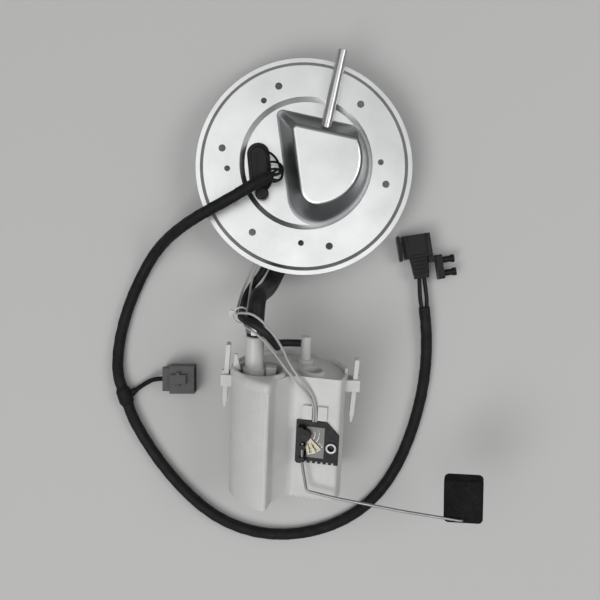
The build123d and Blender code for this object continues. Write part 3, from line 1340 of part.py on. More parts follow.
def cable_tie():
    """The tie round the return hose and the sender leads, with its square head."""
    at = Plane(origin=TIE_AT, z_dir=TIE_ALONG)
    outer = TIE_R + TIE_T
    band = Cylinder(outer, TIE_W) - Cylinder(TIE_R, TIE_W)
    head = block(-TIE_HEAD / 2, TIE_HEAD / 2, TIE_R + SLIP, outer + TIE_HEAD / 2, -TIE_HEAD / 2, TIE_HEAD / 2)
    return at * (band + head)


def main():
    """Write every node."""
    os.makedirs("parts", exist_ok=True)
    save("flange_plate", flange_plate())
    save("outlet_tube", outlet_tube())
    strap, body, can = regulator()
    save("regulator_strap", strap)
    save("regulator_block", body)
    save("regulator_can", can)
    shell, seal, lower = pass_through()
    save("pass_through_shell", placed(pass_place(), shell))
    save("pass_through_seal", placed(pass_place(), seal))
    save("pass_through_lower", placed(pass_place(), lower))
    save("loom_clip_stud", placed(pass_place() * Pos(-CLIP_AT, 0, 0), clip_stud()))
    save("pass_through_leads", leads())
    save("loom_front", cord("loom_front", LOOM_FRONT, LOOM_R))
    save("loom_tail", cord("loom_tail", LOOM_TAIL, LOOM_R))
    save("branch_wrap", branch_wrap())
    save("branch_lead", cord("branch_lead", BRANCH_LEAD, BRANCH_LEAD_R))
    shell, blades, latch = branch_connector()
    save("branch_connector", placed(branch_place(), shell))
    save("branch_terminals", placed(branch_place(), *blades))
    save("branch_latch", placed(branch_place(), latch))
    shell, pins, boot, lever = end_connector()
    save("end_connector", placed(end_place(), shell))
    save("end_terminals", placed(end_place(), *pins))
    save("end_boot", placed(end_place(), boot))
    save("end_latch", placed(end_place(), lever))
    save("end_leads", Compound(children=end_leads()))
    save("mounting_bracket", placed(end_place(), bracket()))
    save("fuel_hose", fuel_hose())
    save("return_hose", back_hose())
    save("hose_clamps", Compound(children=list(hose_clamps())))
    save("sender_leads", Compound(children=sender_leads()))
    save("cable_tie", cable_tie())
    save("reservoir", placed(RESERVOIR, reservoir()))
    save("reservoir_lid", placed(RESERVOIR, lid()))
    save("return_elbow", placed(RESERVOIR, elbow()))
    save("jet_tube", placed(RESERVOIR, jet_tube()))
    save("foot_valve", placed(RESERVOIR, foot_valve()))
    save("left_latch_arm", placed(RESERVOIR, latch_arm(-1, LEFT_ARM_STAND, LEFT_ARM_RISE)))
    save("right_latch_arm", placed(RESERVOIR, latch_arm(1, RIGHT_ARM_STAND, 0)))
    pump = RESERVOIR * pump_place()
    shell, cover, magnets, brushes, isolator, strainer = pump_static()
    save("pump_shell", placed(pump, shell))
    save("pump_inlet_cover", placed(pump, cover))
    save("pump_magnets", placed(pump, magnets))
    save("pump_brushes", placed(pump, *brushes))
    save("pump_isolator", placed(pump, isolator))
    save("inlet_strainer", placed(pump, strainer))
    armature, impeller = pump_rotor()
    save("armature", placed(pump, armature))
    save("impeller", placed(pump, impeller))
    save("pump_outlet_housing", placed(RESERVOIR, outlet_housing()))
    poppet, spring = check_valve()
    save("check_valve_poppet", placed(RESERVOIR, poppet))
    save("check_valve_spring", placed(RESERVOIR, spring))
    save("pump_plug", placed(RESERVOIR, pump_plug()))
    save("pump_retainer", placed(RESERVOIR, retainer()))
    save("sender_plate", placed(FLAT, sender_plate()))
    save("resistor_card", placed(FLAT, resistor_card()))
    save("wiper_carrier", placed(FLAT, carrier()))
    save("wiper_contact", placed(FLAT, wiper()))
    save("float_wire", placed(FLAT, float_wire()))
    save("float", placed(FLAT, float_solid()))
    save("float_clip", placed(FLAT, float_clip()))


if __name__ == "__main__":
    main()
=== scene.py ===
"""Looks for the fuel pump module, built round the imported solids. Metres, in the module's own frame."""
import json
import math

import bpy
import bmesh
from mathutils import Matrix, Vector


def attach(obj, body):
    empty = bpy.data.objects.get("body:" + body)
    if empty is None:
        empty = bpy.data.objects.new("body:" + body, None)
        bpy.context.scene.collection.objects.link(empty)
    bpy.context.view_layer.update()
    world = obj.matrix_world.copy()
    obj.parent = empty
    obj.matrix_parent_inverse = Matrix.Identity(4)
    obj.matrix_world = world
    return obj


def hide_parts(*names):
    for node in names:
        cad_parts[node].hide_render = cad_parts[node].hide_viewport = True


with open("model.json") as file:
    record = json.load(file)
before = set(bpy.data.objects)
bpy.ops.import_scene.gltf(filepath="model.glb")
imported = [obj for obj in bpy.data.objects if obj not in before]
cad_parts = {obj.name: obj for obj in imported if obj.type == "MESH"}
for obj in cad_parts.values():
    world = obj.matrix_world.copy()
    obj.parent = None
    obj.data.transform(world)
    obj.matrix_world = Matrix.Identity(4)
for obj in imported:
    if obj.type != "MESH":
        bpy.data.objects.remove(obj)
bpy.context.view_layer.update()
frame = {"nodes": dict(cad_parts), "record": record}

MM = 0.001
FLOOR_Z = -0.033

# Routes of the flexible pieces, in millimetres
LOOM = [
    (-22.4, -14.6, 21.5), (-32.0, -22.5, 22.5), (-42.2, -32.0, 22.0), (-52.3, -41.0, 19.5),
    (-62.6, -49.8, 17.5), (-73.6, -59.2, 15.5), (-84.8, -69.2, 6.0), (-96.1, -80.8, -9.0),
    (-106.0, -96.0, -22.0), (-112.9, -116.4, -28.2), (-117.3, -138.9, -28.2), (-118.8, -163.3, -28.2),
    (-117.4, -183.0, -27.8), (-113.6, -198.4, -26.9), (-108.3, -206.9, -26.8), (-99.8, -220.5, -26.8),
    (-93.4, -230.8, -26.9), (-80.5, -245.5, -27.8), (-63.5, -261.5, -28.2), (-43.5, -277.0, -28.2),
    (-20.8, -290.6, -28.2), (4.5, -299.0, -28.2), (31.0, -300.9, -28.2), (57.4, -295.6, -28.2),
    (82.0, -284.6, -28.2), (103.2, -268.0, -28.2), (119.0, -246.2, -28.2), (128.6, -220.8, -28.2),
    (133.6, -193.5, -28.2), (135.4, -165.5, -28.2), (134.0, -139.5, -27.9), (129.4, -114.5, -26.6),
    (124.6, -98.4, -25.2), (121.2, -88.6, -24.5),
]
BRANCH_LEAD = [
    (-95.8, -206.4, -26.8), (-89.6, -199.6, -25.0), (-82.6, -194.1, -22.9), (-75.6, -192.5, -22.6),
]
PASS_LEADS = [
    [
        (-31.3, 3.9, 8.0), (-28.0, 3.7, 9.0), (-23.1, 0.4, 12.0), (-18.7, -4.7, 15.0), (-16.7, -9.9, 18.0),
        (-18.1, -14.1, 20.5), (-23.0, -15.5, 21.6),
    ],
    [
        (-30.6, -4.6, 7.5), (-26.0, -3.0, 8.5), (-20.6, -2.7, 11.5), (-15.2, -6.3, 15.5),
        (-15.2, -12.4, 20.0), (-23.4, -14.4, 21.8),
    ],
    [
        (-29.4, -10.4, 7.5), (-24.4, -8.7, 8.5), (-19.4, -7.6, 10.5), (-14.6, -10.8, 14.0),
        (-14.9, -16.8, 18.2), (-19.2, -18.0, 20.6), (-26.4, -17.6, 21.2),
    ],
    [
        (-28.0, -15.4, 6.5), (-23.3, -18.2, 7.5), (-18.3, -18.0, 9.0), (-14.6, -13.8, 12.0),
        (-15.2, -8.0, 15.5), (-19.6, -8.8, 19.0), (-25.0, -16.4, 21.4),
    ],
]
FUEL_HOSE = [
    (10.5, -2.0, -10.0), (10.5, -22.0, -10.0), (6.5, -45.0, -10.0), (1.5, -67.0, -10.3),
    (-3.6, -89.0, -11.2), (-6.3, -101.0, 0.0), (-9.6, -106.0, 28.0), (-12.0, -110.7, 58.1),
    (-7.2, -138.1, 49.9),
]
RETURN_HOSE = [
    (-0.5, -2.0, -10.0), (-0.5, -22.0, -10.0), (-4.5, -45.0, -8.2), (-9.5, -67.0, -7.2),
    (-14.0, -89.5, -6.0), (-19.5, -100.5, -2.5), (-22.6, -110.5, 6.0), (-22.2, -119.5, 20.5),
    (-20.9, -124.9, 38.0), (-20.3, -127.0, 56.5), (-13.5, -128.6, 68.3), (-5.0, -131.0, 70.8),
    (3.0, -135.8, 68.5), (9.6, -141.5, 57.5), (11.7, -144.3, 37.0), (6.8, -141.7, 16.8),
    (28.1, -137.9, 16.8),
]
SENDER_LEADS = [
    [
        (-30.0, -27.0, -12.0), (-28.0, -45.0, -9.0), (-25.5, -66.0, -6.0), (-22.6, -84.6, -4.6),
        (-24.6, -97.7, 1.0), (-26.4, -109.6, 8.5), (-26.2, -119.8, 21.0), (-24.9, -125.4, 39.5),
        (-24.2, -125.4, 56.5), (-19.0, -123.2, 69.5), (-11.6, -122.5, 74.2), (-4.4, -125.5, 74.2),
        (2.6, -130.5, 72.0), (9.8, -136.8, 67.5), (16.4, -144.5, 61.0), (21.9, -152.5, 56.2),
        (31.4, -161.6, 56.1), (37.7, -166.4, 53.9), (43.7, -171.6, 52.2), (47.9, -178.1, 50.3),
        (50.5, -185.5, 47.8), (51.7, -192.0, 45.5),
    ],
    [
        (-27.5, -27.0, -12.0), (-25.5, -45.0, -9.0), (-23.0, -66.0, -6.0), (-20.0, -84.2, -5.0),
        (-20.9, -96.3, 2.6), (-19.9, -107.0, 11.5), (-18.2, -117.0, 25.0), (-16.7, -124.6, 37.5),
        (-17.8, -130.0, 49.5), (-15.3, -133.1, 61.8), (-8.0, -135.2, 68.4), (0.0, -139.3, 66.2),
        (6.8, -145.0, 62.2), (13.4, -150.6, 58.2), (19.4, -156.6, 55.2), (30.1, -164.6, 56.3),
        (36.0, -169.0, 53.4), (41.9, -174.1, 51.2), (46.8, -179.5, 50.4), (48.8, -186.7, 47.6),
        (49.7, -192.3, 45.3),
    ],
]

# Thickness of the flexible pieces, in metres
LOOM_D = 0.0095
BRANCH_LEAD_D = 0.0038
END_LEAD_D = 0.0034
PASS_LEAD_D = 0.0019
SENDER_LEAD_D = 0.0018
FUEL_HOSE_D = 0.013
RETURN_HOSE_D = 0.0058


def metres(points):
    """A route in metres."""
    return [Vector(point) * MM for point in points]


# Materials


class Nodes:
    """A material's node tree, with short calls for what the materials share."""

    def __init__(self, name, colour, rough, metal=0.0):
        self.mat = bpy.data.materials.new(name)
        self.mat.use_nodes = True
        self.tree = self.mat.node_tree
        self.shader = self.tree.nodes["Principled BSDF"]
        self.shader.inputs["Base Color"].default_value = (*colour, 1)
        self.shader.inputs["Roughness"].default_value = rough
        self.shader.inputs["Metallic"].default_value = metal

    def node(self, kind, **values):
        made = self.tree.nodes.new(kind)
        for key, value in values.items():
            setattr(made, key, value)
        return made

    def link(self, start, end):
        self.tree.links.new(start, end)

    def maths(self, operation, *values):
        made = self.node("ShaderNodeMath", operation=operation)
        for socket, value in zip(made.inputs, values):
            if isinstance(value, float):
                socket.default_value = value
            else:
                self.link(value, socket)
        return made.outputs[0]

    def place(self, kind="Object"):
        return self.node("ShaderNodeTexCoord").outputs[kind]

    def noise(self, scale, detail=3.0, where=None, rough=0.5):
        made = self.node("ShaderNodeTexNoise")
        made.inputs["Scale"].default_value = scale
        made.inputs["Detail"].default_value = detail
        made.inputs["Roughness"].default_value = rough
        self.link(where or self.place(), made.inputs["Vector"])
        return made.outputs["Fac"]

    def spread(self, value, low, high, start=0.3, end=0.7):
        made = self.node("ShaderNodeMapRange")
        made.inputs["From Min"].default_value = start
        made.inputs["From Max"].default_value = end
        made.inputs["To Min"].default_value = low
        made.inputs["To Max"].default_value = high
        self.link(value, made.inputs["Value"])
        return made.outputs["Result"]

    def tint(self, value, dark, light, start=0.3, end=0.7):
        ramp = self.node("ShaderNodeValToRGB")
        ramp.color_ramp.elements[0].position = start
        ramp.color_ramp.elements[0].color = (*dark, 1)
        ramp.color_ramp.elements[1].position = end
        ramp.color_ramp.elements[1].color = (*light, 1)
        self.link(value, ramp.inputs["Fac"])
        self.link(ramp.outputs["Color"], self.shader.inputs["Base Color"])
        return ramp

    def rough(self, value, low, high):
        self.link(self.spread(value, low, high), self.shader.inputs["Roughness"])

    def bump(self, value, strength, distance, under=None):
        made = self.node("ShaderNodeBump")
        made.inputs["Strength"].default_value = strength
        made.inputs["Distance"].default_value = distance
        self.link(value, made.inputs["Height"])
        if under is not None:
            self.link(under, made.inputs["Normal"])
        self.link(made.outputs["Normal"], self.shader.inputs["Normal"])
        return made.outputs["Normal"]


def shade(colour, factor):
    """A colour made darker or lighter."""
    return tuple(min(1.0, channel * factor) for channel in colour)


def moulded(name, colour, rough, grain=2600.0, depth=0.00004, spread=0.08, sub=0.0, gloss=0.5):
    """Moulded plastic: faint mottling, uneven gloss and a fine skin."""
    made = Nodes(name, colour, rough)
    made.tint(made.noise(90.0, 4.0), shade(colour, 1 - spread), shade(colour, 1 + spread))
    made.rough(made.noise(220.0, 3.0), rough - 0.06, rough + 0.1)
    wide = made.bump(made.noise(60.0, 2.0), 0.25, 0.0004)
    made.bump(made.noise(grain, 2.0), 0.5, depth, wide)
    made.shader.inputs["Specular IOR Level"].default_value = gloss
    if sub:
        made.shader.inputs["Subsurface Weight"].default_value = sub
        made.shader.inputs["Subsurface Radius"].default_value = (0.004, 0.0038, 0.0034)
    return made.mat


def rubber(name, colour=(0.012, 0.012, 0.013), rough=0.5):
    """Moulded rubber with a dusty bloom."""
    made = Nodes(name, colour, rough)
    made.tint(made.noise(140.0, 5.0), colour, shade(colour, 2.0), 0.42, 0.75)
    made.rough(made.noise(90.0, 3.0), rough - 0.1, rough + 0.14)
    made.bump(made.noise(1500.0, 3.0), 0.4, 0.00006)
    made.shader.inputs["Specular IOR Level"].default_value = 0.22
    return made.mat


def foam():
    """Pressed granular foam: dark grains with pale dust between them."""
    made = Nodes("float_foam", (0.012, 0.012, 0.013), 0.8)
    grains = made.node("ShaderNodeTexVoronoi")
    grains.feature = "DISTANCE_TO_EDGE"
    grains.inputs["Scale"].default_value = 520.0
    made.link(made.place(), grains.inputs["Vector"])
    mixed = made.maths("MULTIPLY_ADD", made.noise(70.0, 5.0), 0.55, grains.outputs["Distance"])
    made.tint(mixed, (0.005, 0.005, 0.006), (0.018, 0.018, 0.019), 0.2, 0.75)
    made.rough(made.noise(90.0, 3.0), 0.66, 0.9)
    wide = made.bump(made.noise(110.0, 3.0), 0.35, 0.0005)
    made.bump(grains.outputs["Distance"], 0.8, 0.0003, wide)
    made.shader.inputs["Specular IOR Level"].default_value = 0.12
    return made.mat


def metal(name, colour, rough, scale=900.0, stretch=(1, 1, 1), depth=0.00002):
    """Drawn or rolled metal with fine lines along one direction."""
    made = Nodes(name, colour, rough, 1.0)
    mapping = made.node("ShaderNodeMapping")
    mapping.inputs["Scale"].default_value = stretch
    made.link(made.place(), mapping.inputs["Vector"])
    lines = made.noise(scale, 4.0, mapping.outputs["Vector"])
    made.tint(made.noise(120.0, 3.0), shade(colour, 0.86), shade(colour, 1.06))
    made.rough(lines, rough - 0.07, rough + 0.1)
    made.bump(lines, 0.35, depth)
    return made.mat


# Painted shade: the steep walls of the pressed sheet are coloured darker, in place of the dark surroundings
# they would reflect. In order: the upright part of the surface's direction, from shaded to bright, the
# heights over which that sets in, and the tint of a shaded wall
SHADED_WALL_LEAN = (0.72, 0.97)
SHADED_WALL_HEIGHT = (0.001, 0.004)
PAINTED_SHADE_TINT = (0.32, 0.32, 0.33)
# How fast the rings change on the way round the centre
RING_DRIFT = 0.004


def pressed_sheet():
    """Plated sheet: fine rings round the centre, blotches, faint waves, and painted shade that darkens its
    steep drawn walls.
    """
    made = Nodes("pressed_sheet", (0.70, 0.71, 0.71), 0.3, 1.0)
    place = made.place()
    parts = made.node("ShaderNodeSeparateXYZ")
    made.link(place, parts.inputs["Vector"])
    square = [made.maths("POWER", parts.outputs[axis], 2.0) for axis in ("X", "Y")]
    radius = made.maths("SQRT", made.maths("ADD", *square))
    angle = made.maths("ARCTAN2", parts.outputs["Y"], parts.outputs["X"])
    ring_place = made.node("ShaderNodeCombineXYZ")
    made.link(radius, ring_place.inputs["X"])
    made.link(made.maths("MULTIPLY", angle, RING_DRIFT), ring_place.inputs["Y"])
    made.link(parts.outputs["Z"], ring_place.inputs["Z"])
    rings = made.noise(1400.0, 5.0, ring_place.outputs["Vector"], 0.7)
    blotch = made.noise(26.0, 5.0, place)
    plating = made.tint(blotch, (0.62, 0.63, 0.63), (0.78, 0.79, 0.79), 0.3, 0.68)
    lean = made.node("ShaderNodeSeparateXYZ")
    made.link(made.place("Normal"), lean.inputs["Vector"])
    # Painted shade: the colour of steep walls above the flat is multiplied down by the shade tint
    drawn = made.node("ShaderNodeMix", data_type="RGBA", blend_type="MULTIPLY")
    steep = made.spread(lean.outputs["Z"], 1.0, 0.0, *SHADED_WALL_LEAN)
    raised = made.spread(parts.outputs["Z"], 0.3, 1.0, *SHADED_WALL_HEIGHT)
    made.link(made.maths("MULTIPLY", steep, raised), drawn.inputs["Factor"])
    made.link(plating.outputs["Color"], drawn.inputs["A"])
    drawn.inputs["B"].default_value = (*PAINTED_SHADE_TINT, 1)
    made.link(drawn.outputs["Result"], made.shader.inputs["Base Color"])
    mixed = made.node("ShaderNodeMix", data_type="FLOAT")
    mixed.inputs["Factor"].default_value = 0.5
    made.link(rings, mixed.inputs["A"])
    made.link(blotch, mixed.inputs["B"])
    made.rough(mixed.outputs["Result"], 0.24, 0.42)
    wide = made.bump(made.noise(35.0, 2.0, place), 0.12, 0.0006)
    made.bump(rings, 0.3, 0.00003, wide)
    made.shader.inputs["Anisotropic"].default_value = 0.35
    return made.mat


def wound_sleeve(name, colour, along, around, depth):
    """Woven sleeve: threads that cross, read from the tube's own length and turn."""
    made = Nodes(name, colour, 0.62)
    uv = made.place("UV")
    parts = made.node("ShaderNodeSeparateXYZ")
    made.link(uv, parts.inputs["Vector"])
    waves = []
    for sign in (1.0, -1.0):
        turn = made.maths("MULTIPLY", parts.outputs["X"], around * math.tau)
        run = made.maths("MULTIPLY", parts.outputs["Y"], along * sign)
        waves.append(made.maths("SINE", made.maths("ADD", turn, run)))
    weave = made.maths("MULTIPLY", *waves)
    made.tint(made.noise(160.0, 4.0), colour, shade(colour, 1.9), 0.35, 0.8)
    made.rough(made.noise(70.0, 3.0), 0.42, 0.7)
    wide = made.bump(made.noise(240.0, 3.0), 0.4, 0.0005)
    made.bump(weave, 0.6, depth, wide)
    made.shader.inputs["Specular IOR Level"].default_value = 0.16
    return made.mat


MATERIALS = {
    "stamped_steel": pressed_sheet(),
    "tube_steel": metal("tube_plating", (0.62, 0.62, 0.62), 0.3, 700.0, (1, 0.05, 1)),
    "black_plastic": moulded("black_moulding", (0.010, 0.010, 0.011), 0.36, gloss=0.24),
    "grey_plastic": moulded("grey_moulding", (0.085, 0.086, 0.088), 0.46, gloss=0.3),
    "white_plastic": moulded("white_moulding", (0.61, 0.61, 0.6), 0.4, sub=0.1, spread=0.03),
    "natural_plastic": moulded("natural_moulding", (0.57, 0.565, 0.545), 0.34, sub=0.15, spread=0.04),
    "rubber": rubber("hose_rubber"),
    "sleeve": wound_sleeve("sleeve_weave", (0.009, 0.009, 0.010), 2600.0, 12.0, 0.00012),
    "lead_grey": moulded("lead_grey", (0.42, 0.42, 0.41), 0.42),
    "lead_black": moulded("lead_black", (0.009, 0.009, 0.010), 0.4, gloss=0.2),
    "zinc": metal("cast_zinc", (0.55, 0.56, 0.57), 0.45, 400.0),
    "brass": metal("stamped_brass", (0.36, 0.33, 0.25), 0.36, 800.0),
    "steel": metal("drawn_steel", (0.36, 0.365, 0.37), 0.4, 800.0),
    "ferrite": rubber("ferrite", (0.03, 0.03, 0.032), 0.6),
    "ceramic": moulded("ceramic_card", (0.22, 0.22, 0.215), 0.5),
    "foam": foam(),
    "mesh": rubber("strainer_mesh", (0.6, 0.6, 0.56), 0.7),
}

for entry in frame["record"]["subparts"]:
    solid = frame["nodes"].get(entry["node"])
    if solid:
        material = MATERIALS[entry["material_slot"]]
        if not solid.material_slots:
            solid.data.materials.append(material)
        for place in solid.material_slots:
            place.material = material


# Making pieces


def add(name, mesh, material, body, smooth=True):
    """A mesh object that rides on a body."""
    piece = bpy.data.objects.new(name, mesh)
    bpy.context.scene.collection.objects.link(piece)
    mesh.materials.append(MATERIALS[material])
    if smooth:
        for face in mesh.polygons:
            face.use_smooth = True
    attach(piece, body)
    return piece


def route_curve(name, points, detail):
    """One smooth open spline through a route."""
    data = bpy.data.curves.new(name, "CURVE")
    data.dimensions = "3D"
    spline = data.splines.new("NURBS")
    spline.points.add(len(points) - 1)
    for point, place in zip(spline.points, metres(points)):
        point.co = (*place, 1)
    spline.order_u = 3
    spline.use_endpoint_u = True
    data.resolution_u = detail
    return data


def spline_curve(name, points, radius, body, material):
    """A round cord on one smooth spline through its route."""
    data = route_curve(name, points, 12)
    data.bevel_depth = radius
    data.bevel_resolution = 8
    data.use_fill_caps = True
    data.materials.append(MATERIALS[material])
    piece = bpy.data.objects.new(name, data)
    bpy.context.scene.collection.objects.link(piece)
    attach(piece, body)
    return piece


def line_of(points, detail=16):
    """The smooth line of a route's spline, as points."""
    data = route_curve("route", points, detail)
    holder = bpy.data.objects.new("route", data)
    mesh = bpy.data.meshes.new_from_object(holder)
    line = [vertex.co.copy() for vertex in mesh.vertices]
    bpy.data.objects.remove(holder)
    bpy.data.curves.remove(data)
    bpy.data.meshes.remove(mesh)
    return line


def length_of(line):
    """The length of a line of points."""
    return sum((b - a).length for a, b in zip(line, line[1:]))


def tube_mesh(name, *tubes):
    """Tubes along lines, each with its radius as a function of length and turn, and a map of the same two."""
    builder = bmesh.new()
    uv = builder.loops.layers.uv.new("UVMap")
    for line, radius_at, sides in tubes:
        add_tube(builder, uv, line, radius_at, sides)
    mesh = bpy.data.meshes.new(name)
    builder.to_mesh(mesh)
    builder.free()
    return mesh


def add_tube(builder, uv, line, radius_at, sides):
    """One closed tube along a line."""
    rings = []
    runs = [0.0]
    for a, b in zip(line, line[1:]):
        runs.append(runs[-1] + (b - a).length)
    heading = (line[1] - line[0]).normalized()
    side = heading.orthogonal().normalized()
    for index, place in enumerate(line):
        ahead = line[min(index + 1, len(line) - 1)] - line[max(index - 1, 0)]
        ahead.normalize()
        side = (side - ahead * side.dot(ahead)).normalized()
        up = ahead.cross(side)
        ring = []
        for step in range(sides):
            turn = math.tau * step / sides
            radius = radius_at(runs[index], turn)
            ring.append(builder.verts.new(place + (side * math.cos(turn) + up * math.sin(turn)) * radius))
        rings.append(ring)
    for index, (low, high) in enumerate(zip(rings, rings[1:])):
        for step in range(sides):
            after = (step + 1) % sides
            face = builder.faces.new((low[step], low[after], high[after], high[step]))
            marks = (
                (step / sides, runs[index]), ((step + 1) / sides, runs[index]),
                ((step + 1) / sides, runs[index + 1]), (step / sides, runs[index + 1]),
            )
            for loop, mark in zip(face.loops, marks):
                loop[uv].uv = mark
    builder.faces.new(list(reversed(rings[0])))
    builder.faces.new(rings[-1])


# Cords

# Frame of the end connector, its X running from the boot to the mating end
END_CONNECTOR_AT = (104.4, -41.2, -33.0)
END_CONNECTOR_TURN = math.radians(111.5)
END_CONNECTOR = (
    Matrix.Translation(Vector(END_CONNECTOR_AT) * MM) @ Matrix.Rotation(END_CONNECTOR_TURN, 4, "Z")
)

# The loom's sleeve, its narrow first end and the tape wound on it
LOOM_R = LOOM_D / 2
LOOM_DETAIL = 22
LOOM_SIDES = 28
LOOM_FULL = 0.965
LOOM_WAVE = 0.012
LOOM_SWELL = 0.014
LOOM_TIP_R = 0.0032
LOOM_TIP_L = 0.009
TAPE_PITCH = 0.0125
TAPE_LAP = 0.00022


def lap_of(run, turn, pitch):
    """How far past the middle of a lap of wound tape a spot is, as a share of the lap."""
    return (run / pitch + turn / math.tau) % 1.0 - 0.5


def loom_radius(run, turn):
    """The taped sleeve is a little uneven, shows each lap of its tape and narrows at its first end."""
    wave = math.sin(run * 410.0 + 1.3 * math.sin(run * 93.0)) * math.cos(turn * 2 + run * 60.0)
    swell = math.sin(run * 37.0) * math.sin(run * 61.0 + turn)
    full = LOOM_R * (LOOM_FULL + LOOM_WAVE * wave + LOOM_SWELL * swell)
    full += TAPE_LAP * lap_of(run, turn, TAPE_PITCH)
    grown = min(1.0, run / LOOM_TIP_L)
    return LOOM_TIP_R + (full - LOOM_TIP_R) * math.sin(grown * math.pi / 2)


loom_line = line_of(LOOM, LOOM_DETAIL)
loom_mesh = tube_mesh("loom_sleeve", (loom_line, loom_radius, LOOM_SIDES))
loom = add("loom_sleeve", loom_mesh, "sleeve", "module")
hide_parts("loom_front", "loom_tail")
branch = spline_curve("branch_lead_sleeve", BRANCH_LEAD, BRANCH_LEAD_D / 2, "module", "sleeve")
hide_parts("branch_lead")

# Tape wound round the loom where the branch leaves it, thicker in its middle, and drawn over the branch lead
WRAP_NEAR = Vector((-108.3, -206.9, -26.8)) * MM
WRAP_FAR = Vector((-99.8, -220.5, -26.8)) * MM
WRAP_R = 0.0062
WRAP_EDGE_R = 0.0047
WRAP_FULL = 0.96
WRAP_SWELL = 0.04
WRAP_TAPER = 0.003
WRAP_PITCH = 0.0042
WRAP_LAP = 0.0003
STUB_R = 0.0034
STUB_L = 0.011
STUB_TAPER = 0.0012
STUB_LAP = 0.0002
STUB_STEPS = 8
STUB_SIDES = 20


def wrap_radius(run, turn):
    """The wound tape: laps that step up, and ends that taper on to the sleeve."""
    end = min(1.0, run / WRAP_TAPER, (wrap_length - run) / WRAP_TAPER)
    swell = WRAP_SWELL * math.sin(run * 300.0 + turn * 2)
    full = WRAP_EDGE_R + (WRAP_R - WRAP_EDGE_R) * end * (WRAP_FULL + swell)
    return full + WRAP_LAP * lap_of(run, turn, WRAP_PITCH) * end


def stub_radius(run, turn):
    """The tape over the branch lead narrows towards it."""
    return STUB_R - STUB_TAPER * (run / STUB_L) ** 2 + STUB_LAP * lap_of(run, turn, WRAP_PITCH)


wrap_middle = (WRAP_NEAR + WRAP_FAR) / 2
wrap_reach = (WRAP_FAR - WRAP_NEAR).length / 2
wrap_line = [place for place in loom_line if (place - wrap_middle).length < wrap_reach]
wrap_length = length_of(wrap_line)
branch_line = line_of(BRANCH_LEAD)
branch_heading = (branch_line[1] - branch_line[0]).normalized()
stub_line = [
    branch_line[0] - branch_heading * STUB_L * (1 - step / STUB_STEPS) for step in range(STUB_STEPS + 1)
]
wrap_mesh = tube_mesh(
    "branch_wrap_tape", (wrap_line, wrap_radius, LOOM_SIDES), (stub_line, stub_radius, STUB_SIDES)
)
wrap = add("branch_wrap_tape", wrap_mesh, "sleeve", "module")
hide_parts("branch_wrap")

# Two leads from the loom's last end into the boot of the end connector. Each place of a lead is given by
# where it is counted from, its steps onward and its distance from the middle, as a share of the usual one
BOOT_END_AT = (-26.5, 0.0, 8.75)
END_LEAD_ASIDE = 2.2
END_LEAD_STEPS = 6
loom_end = loom_line[-1]
boot_end = END_CONNECTOR @ (Vector(BOOT_END_AT) * MM)
across = (boot_end - loom_end).normalized().cross(Vector((0, 0, 1))) * END_LEAD_ASIDE * MM
onward = (boot_end - loom_end) / END_LEAD_STEPS
END_LEAD_PLACES = (
    (loom_end, -1, 0.8), (loom_end, 0, 1.0), (loom_end, 2, 1.25), (loom_end, 4, 1.1),
    (boot_end, 0, 0.9), (boot_end, 1, 0.9),
)
for index, sign in enumerate((-1, 1)):
    places = [
        (start + onward * ahead + across * sign * aside) / MM for start, ahead, aside in END_LEAD_PLACES
    ]
    spline_curve(f"end_lead_{index + 1}", places, END_LEAD_D / 2, "module", "lead_black")
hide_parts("end_leads")

for index, points in enumerate(PASS_LEADS):
    lead = spline_curve(f"pass_lead_{index + 1}", points, PASS_LEAD_D / 2, "module", "lead_black")
    if index == 0:
        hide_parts("pass_through_leads")
    round(length_of(line_of(points)), 4)

for index, points in enumerate(SENDER_LEADS):
    lead = spline_curve(f"sender_lead_{index + 1}", points, SENDER_LEAD_D / 2, "module", "lead_grey")
    if index == 0:
        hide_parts("sender_leads")
    round(length_of(line_of(points)), 4)

fuel_hose = spline_curve("fuel_hose_rubber", FUEL_HOSE, FUEL_HOSE_D / 2, "module", "rubber")
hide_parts("fuel_hose")
round(length_of(line_of(FUEL_HOSE)), 4)

return_hose = spline_curve("return_hose_rubber", RETURN_HOSE, RETURN_HOSE_D / 2, "module", "rubber")
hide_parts("return_hose")
round(length_of(line_of(RETURN_HOSE)), 4)


# Details on the mouldings

# Frames of the tilted reservoir and of the flat on its side, its outline, the pump's axis and the rim
RESERVOIR_TURN = math.radians(9.98)
RESERVOIR_TILT = math.radians(16.4)
RESERVOIR_R = 44.0
RESERVOIR_X = Vector((math.cos(RESERVOIR_TURN), math.sin(RESERVOIR_TURN), 0))
RESERVOIR_AXIS = Vector((
    -math.sin(RESERVOIR_TURN) * math.cos(RESERVOIR_TILT),
    math.cos(RESERVOIR_TURN) * math.cos(RESERVOIR_TILT),
    math.sin(RESERVOIR_TILT),
))
RESERVOIR_FOOT = Vector((39.9, -252.1, FLOOR_Z / MM + RESERVOIR_R * math.cos(RESERVOIR_TILT))) * MM
FLAT_TURN = math.radians(9.5)
FLAT_OFFSET = 13.3
OUTLINE_R = 43.9
PUMP_AT = (-22.01, -7.0)
RIM_Z = 99.4


def frame_of(origin, x_dir, z_dir):
    """A frame from its origin and two directions."""
    y_dir = z_dir.cross(x_dir)
    return Matrix.Translation(origin) @ Matrix((x_dir, y_dir, z_dir)).transposed().to_4x4()


RESERVOIR = frame_of(RESERVOIR_FOOT, RESERVOIR_X, RESERVOIR_AXIS)
FLAT_OUT = Vector((-math.sin(FLAT_TURN), -math.cos(FLAT_TURN), 0))
FLAT_ACROSS = Vector((math.cos(FLAT_TURN), -math.sin(FLAT_TURN), 0))
FLAT = RESERVOIR @ frame_of(FLAT_OUT * FLAT_OFFSET * MM, FLAT_ACROSS, FLAT_OUT)


def polar(centre, out, turn, height):
    """A point by its distance and turn from a centre, and its height."""
    return (centre[0] + out * math.cos(turn), centre[1] + out * math.sin(turn), height)


